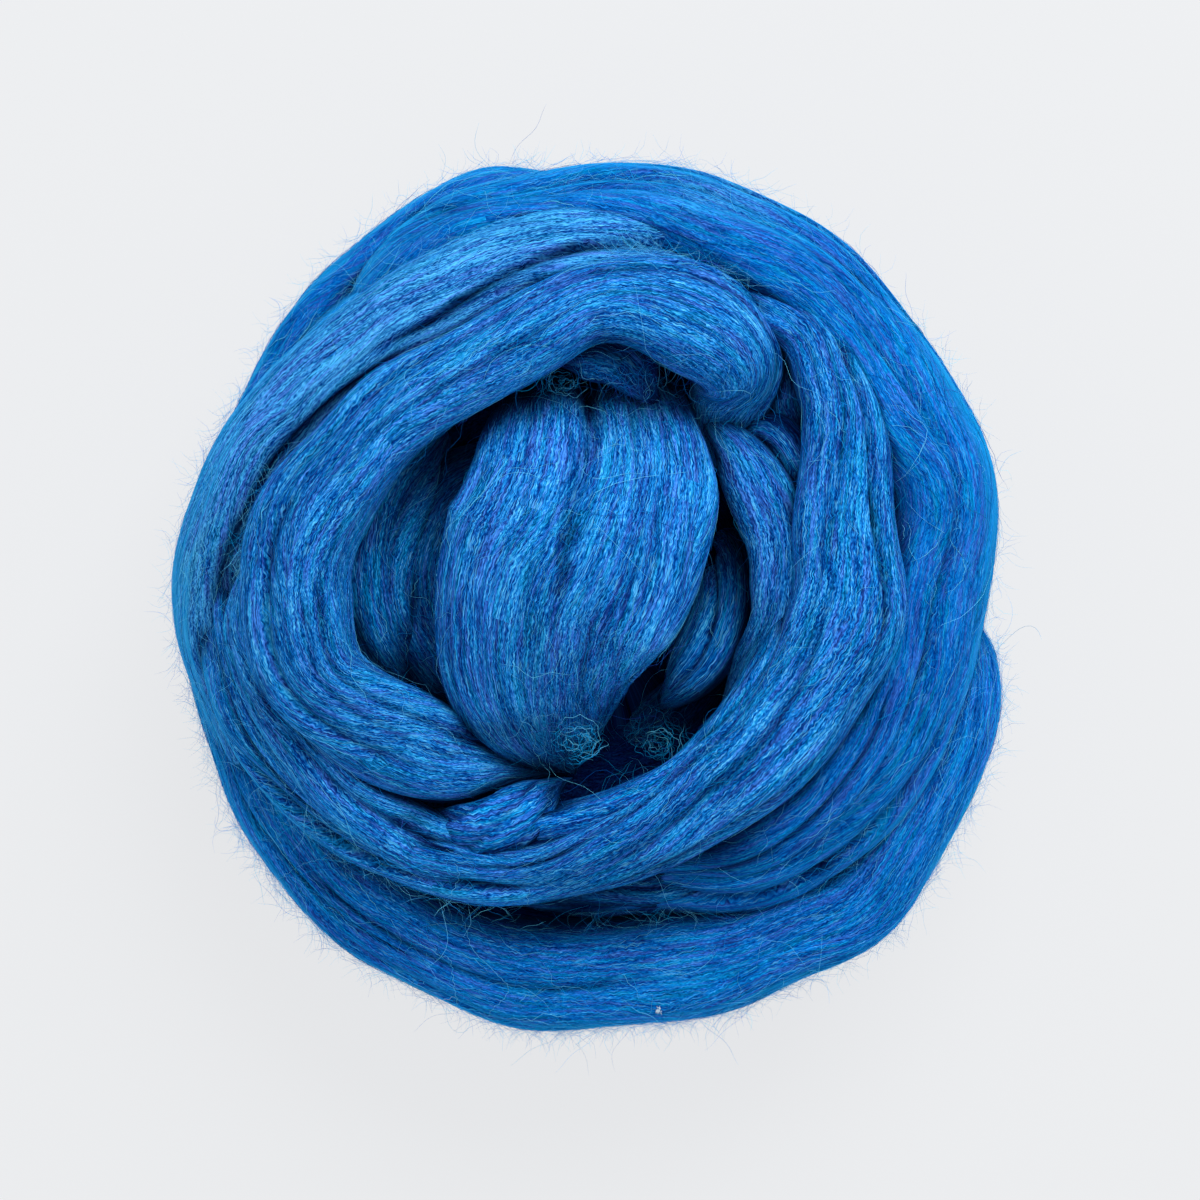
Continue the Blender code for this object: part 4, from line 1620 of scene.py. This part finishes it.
# Every turn that shows, from the lowest to the highest. A row is a Section.
TURNS = {
    "bottom_outer": [
        (-80.5, 7, 42, 19, 15), (-73.7, -28.6, 42, 22, 17), (-53.4, -60.3, 41, 26, 19),
        (-18, -78.8, 41, 30, 23), (20, -77.6, 41, 30, 23), (41, -71.5, 42, 28, 21),
        (59, -61.5, 43, 25, 19), (75, -32.5, 46, 19, 16), (79.5, -13.5, 45, 13, 13),
        (76, -1, 40, 9, 11),
    ],
    "top_outer": [
        (-55, 55, 48, 15, 14), (-23.5, 73.6, 59, 20, 17), (12, 77.6, 63, 22, 18),
        (43, 64, 65, 25, 19), (65, 36, 64, 28, 19), (71.5, 20, 63, 28, 19), (68.5, 2, 62, 27, 19),
        (60, -30, 60, 27, 19), (38, -52, 55.5, 24, 18), (11, -58, 51, 18, 15),
        (-14, -60, 45.5, 14, 13), (-34, -55, 40, 10, 11),
    ],
    "outer_left": [
        (46, 55, 60, 12, 12), (20, 67, 66, 17, 15), (-11, 67, 71, 20, 17), (-46, 50, 68, 21, 18),
        (-69, 26, 61, 20, 18), (-78, -1, 52, 19, 17), (-71.5, -31, 46, 16, 15),
        (-53, -59, 36, 12, 12),
    ],
    "main_right": [
        (9, 66, 60, 13, 13), (40, 56, 70, 13, 14), (48.5, 42, 72.5, 14, 16), (50.5, 27, 74, 19, 18),
        (50, -5, 75, 24, 19), (35.5, -31, 73, 21, 19), (11.5, -48.5, 68.5, 17, 17),
        (-15, -56.5, 64, 14, 15), (-43, -51, 61, 14, 14), (-64, -34, 59, 13, 14),
        (-75, -9, 57, 12, 14), (-74, 17, 50, 9, 11),
    ],
    "left_under": [
        (-64, 15, 63, 10, 12), (-68, -9, 67, 12, 13), (-56, -34, 67, 13, 13),
        (-34.5, -50, 64, 13, 12), (-18, -54, 62, 13, 12), (-5, -52, 60, 12, 12),
        (5, -44, 55, 9, 10),
    ],
    "lower_fill": [
        (-66, -24, 40, 12, 11), (-56, -41, 42, 14, 12), (-36, -54, 43, 16, 13),
        (-10, -59, 44, 18, 14), (18, -58.5, 46, 20, 15), (42, -48.5, 49, 20, 15),
        (60, -32, 50, 16, 13), (69, -12, 48, 11, 10),
    ],
    "upper_left_low": [
        (-80, 4, 40, 8, 10), (-79, 20, 40, 10, 11), (-70, 37, 40, 12, 12), (-60.6, 52, 43, 15, 14),
        (-47, 65, 45, 16, 15), (-32, 77.6, 47, 17, 15), (-14, 84, 49, 15, 13), (4, 82, 48, 10, 10),
    ],
    "flank_dark": [
        (38, 54, 58, 12, 9), (42, 45, 62, 15, 11), (44, 34, 63, 15, 11), (46, 20, 60, 11, 9),
    ],
    "inner_lip": [
        (43, 34, 58, 9, 9), (46, 11, 67, 11, 12), (39, -17, 69, 13, 13), (17.5, -40, 67.5, 13, 13),
        (-9, -50, 63, 12, 12), (-33, -47, 53, 9, 10),
    ],
    "pit_right": [
        (34, 24, 30, 14, 11), (34, 8, 34, 18, 13), (30, -8, 37, 20, 14), (24, -20, 36, 20, 14),
        (12, -32, 34, 18, 13), (-4, -38, 34, 14, 11),
    ],
    "right_deep": [
        (34, 20, 22, 13, 11), (33, 9, 31, 18, 13), (28, -2, 47, 23, 13), (21, -14, 51, 22, 12),
        (14, -25, 43, 13, 10),
    ],
    "pit_left": [
        (-20, 33, 42, 12, 11), (-30, 22, 48, 18, 13), (-35, 8, 51, 20, 14), (-35, -7, 50, 20, 14),
        (-28, -20, 47, 18, 13), (-16, -29, 42, 14, 11),
    ],
    "left_deep": [
        (-30, 36, 46, 14, 11), (-40, 22, 55, 17, 13), (-45, 6, 58, 18, 13), (-44, -9, 56, 16, 12),
        (-36, -23, 48, 12, 10),
    ],
    "right_inner": [
        (20.5, 38, 58, 8, 9), (29, 28.5, 66.5, 13, 12), (37.5, 14, 69, 15, 13), (39, 2, 68, 14, 13),
        (37, -9, 63, 12, 12), (31, -20, 55, 10, 10), (24, -30, 46, 7, 8),
    ],
    "knob": [
        (31, 33, 58, 5, 7), (37, 32, 66, 8, 9), (42, 26, 68, 8, 9), (43, 16, 62, 6, 8),
    ],
    "fan": [
        (-41, -43, 50, 5, 5), (-33, -48, 59.5, 9, 7), (-24, -49, 65.5, 12, 8),
        (-15.5, -45.5, 66, 12, 8), (-9, -41, 61, 8, 7), (-4, -38, 54, 4, 4),
    ],
    "tuft": [
        (-16, 46, 75, 4, 4), (-9, 50, 77, 10, 7), (-1.5, 51.5, 76.5, 15, 8), (6, 48, 75.5, 14, 7),
        (11, 41.5, 71.5, 8, 5), (14, 37, 67, 3, 3),
    ],
    "upper_loop": [
        (24, 26, 45, 12, 10), (28, 36, 58, 17, 13), (30, 47, 70, 19, 14), (19.5, 55.5, 79, 24, 15),
        (2.5, 58, 82, 17.5, 15.5), (-12.7, 52, 83, 17, 17), (-43.7, 31.9, 82, 17.5, 18),
        (-59, 7, 78, 23, 18), (-56, -17, 74, 22, 16), (-34, -32, 67, 21, 13), (-9, -37, 50, 6, 7),
    ],
}

# The folds that show in a turn's outward face. A row is a Crease.
TURN_CREASES = {
    "outer_left": [
        (-0.1, 0.6, 3.2, 1.2, 0.05, 0.45, 1), (0.72, 0.9, 3.6, 1.3, 0.38, 0.78, 1),
        (-0.5, -0.2, 2.0, 1.2, 0.3, 0.7, -1),
    ],
    "upper_loop": [
        (-0.42, -0.6, 3.4, 1.3, 0.14, 0.52, -1), (0.3, 0.0, 1.3, 1.1, 0.3, 0.62, 0),
        (-0.1, -0.3, 2.4, 1.2, 0.55, 0.9, 1), (0.5, 0.3, 1.8, 1.0, 0.6, 0.95, 0),
    ],
    "main_right": [
        (-0.1, 0.6, 3.6, 1.2, 0.10, 0.44, 1), (0.6, 0.35, 3.2, 1.2, 0.34, 0.64, 1),
        (-0.35, 0.2, 2.6, 1.2, 0.30, 0.58, -1), (-0.7, -0.3, 2.4, 1.2, 0.36, 0.7, 0),
        (0.1, 0.2, 3.4, 1.3, 0.6, 0.86, -1), (-0.25, -0.45, 2.2, 1.1, 0.7, 0.98, 1),
    ],
    "top_outer": [
        (-0.45, -0.2, 3.4, 1.3, 0.30, 0.78, 1), (-0.1, 0.1, 2.6, 1.3, 0.04, 0.4, 0),
        (-0.7, -0.3, 3.6, 1.5, 0.58, 1.0, 1), (0.4, 0.7, 2.4, 1.2, 0.2, 0.6, -1),
        (0.3, 0.1, 3.0, 1.3, 0.6, 0.95, -1),
    ],
    "bottom_outer": [
        (0.9, 1.0, 2.6, 1.4, 0.2, 0.6, 0), (-0.2, 0.2, 2.8, 1.3, 0.3, 0.75, 1),
        (0.5, 0.1, 2.4, 1.2, 0.55, 0.95, -1), (0.5, 0.8, 2.6, 1.3, 0.05, 0.4, -1),
    ],
    "right_deep": [(0.3, 0.7, 2.6, 1.2, 0.1, 0.9, 0), (-0.4, -0.2, 2.0, 1.0, 0.1, 0.9, 0)],
    "left_under": [(0.1, 0.5, 2.0, 1.0, 0.2, 0.9, 1)],
    "fan": [
        (-0.8, 0.7, 1.6, 0.8, 0.1, 0.9, 1), (-0.2, 1.0, 1.3, 0.7, 0.0, 0.7, 1),
        (-1.0, 0.1, 1.2, 0.7, 0.3, 1.0, 1),
    ],
    "lower_fill": [(0.2, -0.3, 2.6, 1.2, 0.2, 0.9, -1), (-0.6, -0.2, 2.2, 1.1, 0.3, 0.8, 1)],
}

# Spots of shade painted on the wool; below 0, spots of painted light.
SHADE_SPOTS = [
    Spot(-8, -57.5, 15, 5.5, 0.6), Spot(9, -53.5, 14, 5.5, 0.55), Spot(29, -54, 12, 6, 0.5),
    Spot(-12, -27, 8, 7, 0.5), Spot(-22, -28, 8, 5, 0.55), Spot(-7, -41, 4.5, 3.5, 0.65),
    Spot(-37, -46, 6, 4, 0.65), Spot(-66, -19, 3.5, 8, 0.6), Spot(-81, -8, 3, 12, 0.35),
    Spot(-30, 79, 10, 3.5, 0.6), Spot(2, 50, 9, 4, 0.5), Spot(49, 41, 4, 6, 0.4),
    Spot(38, 1, 4.5, 7, -0.4), Spot(5, 38, 5, 3.5, -0.4), Spot(23, 34, 4, 4, -0.5),
]

# Where the turns are painted paler: a painted highlight at the top right, and a paler rim on the
# left.
PALE_SPOTS = [Spot(29, 83, 13, 6, 0.6), Spot(-84, 4, 4, 12, 0.4)]

# How evenly coloured a turn's wool is.
TURN_SOFTNESS = {"top_outer": 0.45, "upper_left_low": 0.6, "bottom_outer": 0.3, "outer_left": 0.15}

# How much more shade is painted on a turn than its sight of the sky gives, from 0 to 1; below 0,
# less.
TURN_SHADE = {
    "pit_right": 0.65, "lower_fill": 0.5, "flank_dark": 0.1, "tuft": 0.55, "fan": 0.1,
    "left_deep": -0.25, "pit_left": -0.2,
}

# How much paler a turn's lighter streaks are.
TURN_BLOOM = {
    "outer_left": 0.5, "left_under": 0.1, "right_inner": 0.12, "main_right": 0.05,
    "upper_loop": 0.1,
}

# The loose end, from where it leaves the ball under the upper loop to its tucked tip.
LOOSE_END = [
    (2, 51, 42, 22, 9), (2, 43, 51, 29, 11), (2, 37, 63, 40, 13), (1, 29, 74, 47, 15),
    (-1, 19, 79, 52, 16), (-4, 8, 80, 54, 16), (-9.3, -3, 77.5, 48, 16),
    (-11.5, -13, 72.5, 41.5, 15), (-10.8, -22, 65, 35.5, 13), (-7.5, -31, 56, 30, 11),
    (-4, -38, 47, 22, 9),
]
LOOSE_END_CREASES = [
    (-0.30, 0.02, 5.2, 1.7, -0.02, 0.60, 0), (0.0, 0.03, 1.4, 0.9, 0.5, 1.0, 1),
    (0.3, 0.55, 1.3, 0.9, 0.5, 1.0, -1), (0.25, 0.32, 1.2, 0.9, -0.1, 0.45, 1),
]


def main() -> None:
    """Build the ball, its loose end and its fibres in the studio."""
    logging.basicConfig(level=logging.INFO, format="%(message)s")
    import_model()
    bpy.ops.object.select_all(action="DESELECT")
    Studio().build()
    wool = CombedWool("combed_wool").make()
    single = SingleFibre("single_fibres").make()
    ball = WoundBall()
    heart = ball.heart(wool)
    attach(heart, "root")
    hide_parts("wound_turns")
    end = Band("loose_end", LOOSE_END, LOOSE_END_CREASES, facing=Facing.UP, seed=90, bloom=0.1)
    dressed = [(band, band.skin()) for band in [*ball.bands, end]]
    tree = surfaces_tree([skin for _, skin in dressed])
    for band, skin in dressed:
        # Each turn's sight of the sky is lowered by its extra painted shade and by the painted
        # shade spots.
        skin.openness = measure_openness(skin, tree) * (1.0 - band.extra_shade) * light_left(skin.points)
        piece = band.piece(skin, wool)
        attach(piece, "root")
        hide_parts("tucked_end" if band is end else "wound_turns")
        log.info("%s: %d faces", band.name, len(piece.data.polygons))
    dresser = Dresser(dressed, tree)
    sets = {name: dresser.lay(kind) for name, kind in LAYS.items()}
    sets |= {name: dresser.fuzz(kind) for name, kind in FUZZES.items()}
    sets["draped_fibres"] = FibreSet.joined([dresser.drape(kind) for kind in DRAPES])
    sets["whorls"] = FibreSet.joined([dresser.whorl(*row) for row in WHORLS])
    sets["lone_fibres"] = dresser.lone(LONE_FIBRES)
    for name, fibres in sets.items():
        for index, start in enumerate(range(0, len(fibres.radii), FIBRES_A_PIECE)):
            part = fibres.part(slice(start, start + FIBRES_A_PIECE))
            piece = part.piece(f"{name}_{index + 1}", single)
            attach(piece, "root")
            log.info("%s: %d faces", piece.name, len(piece.data.polygons))


if __name__ == "__main__":
    main()
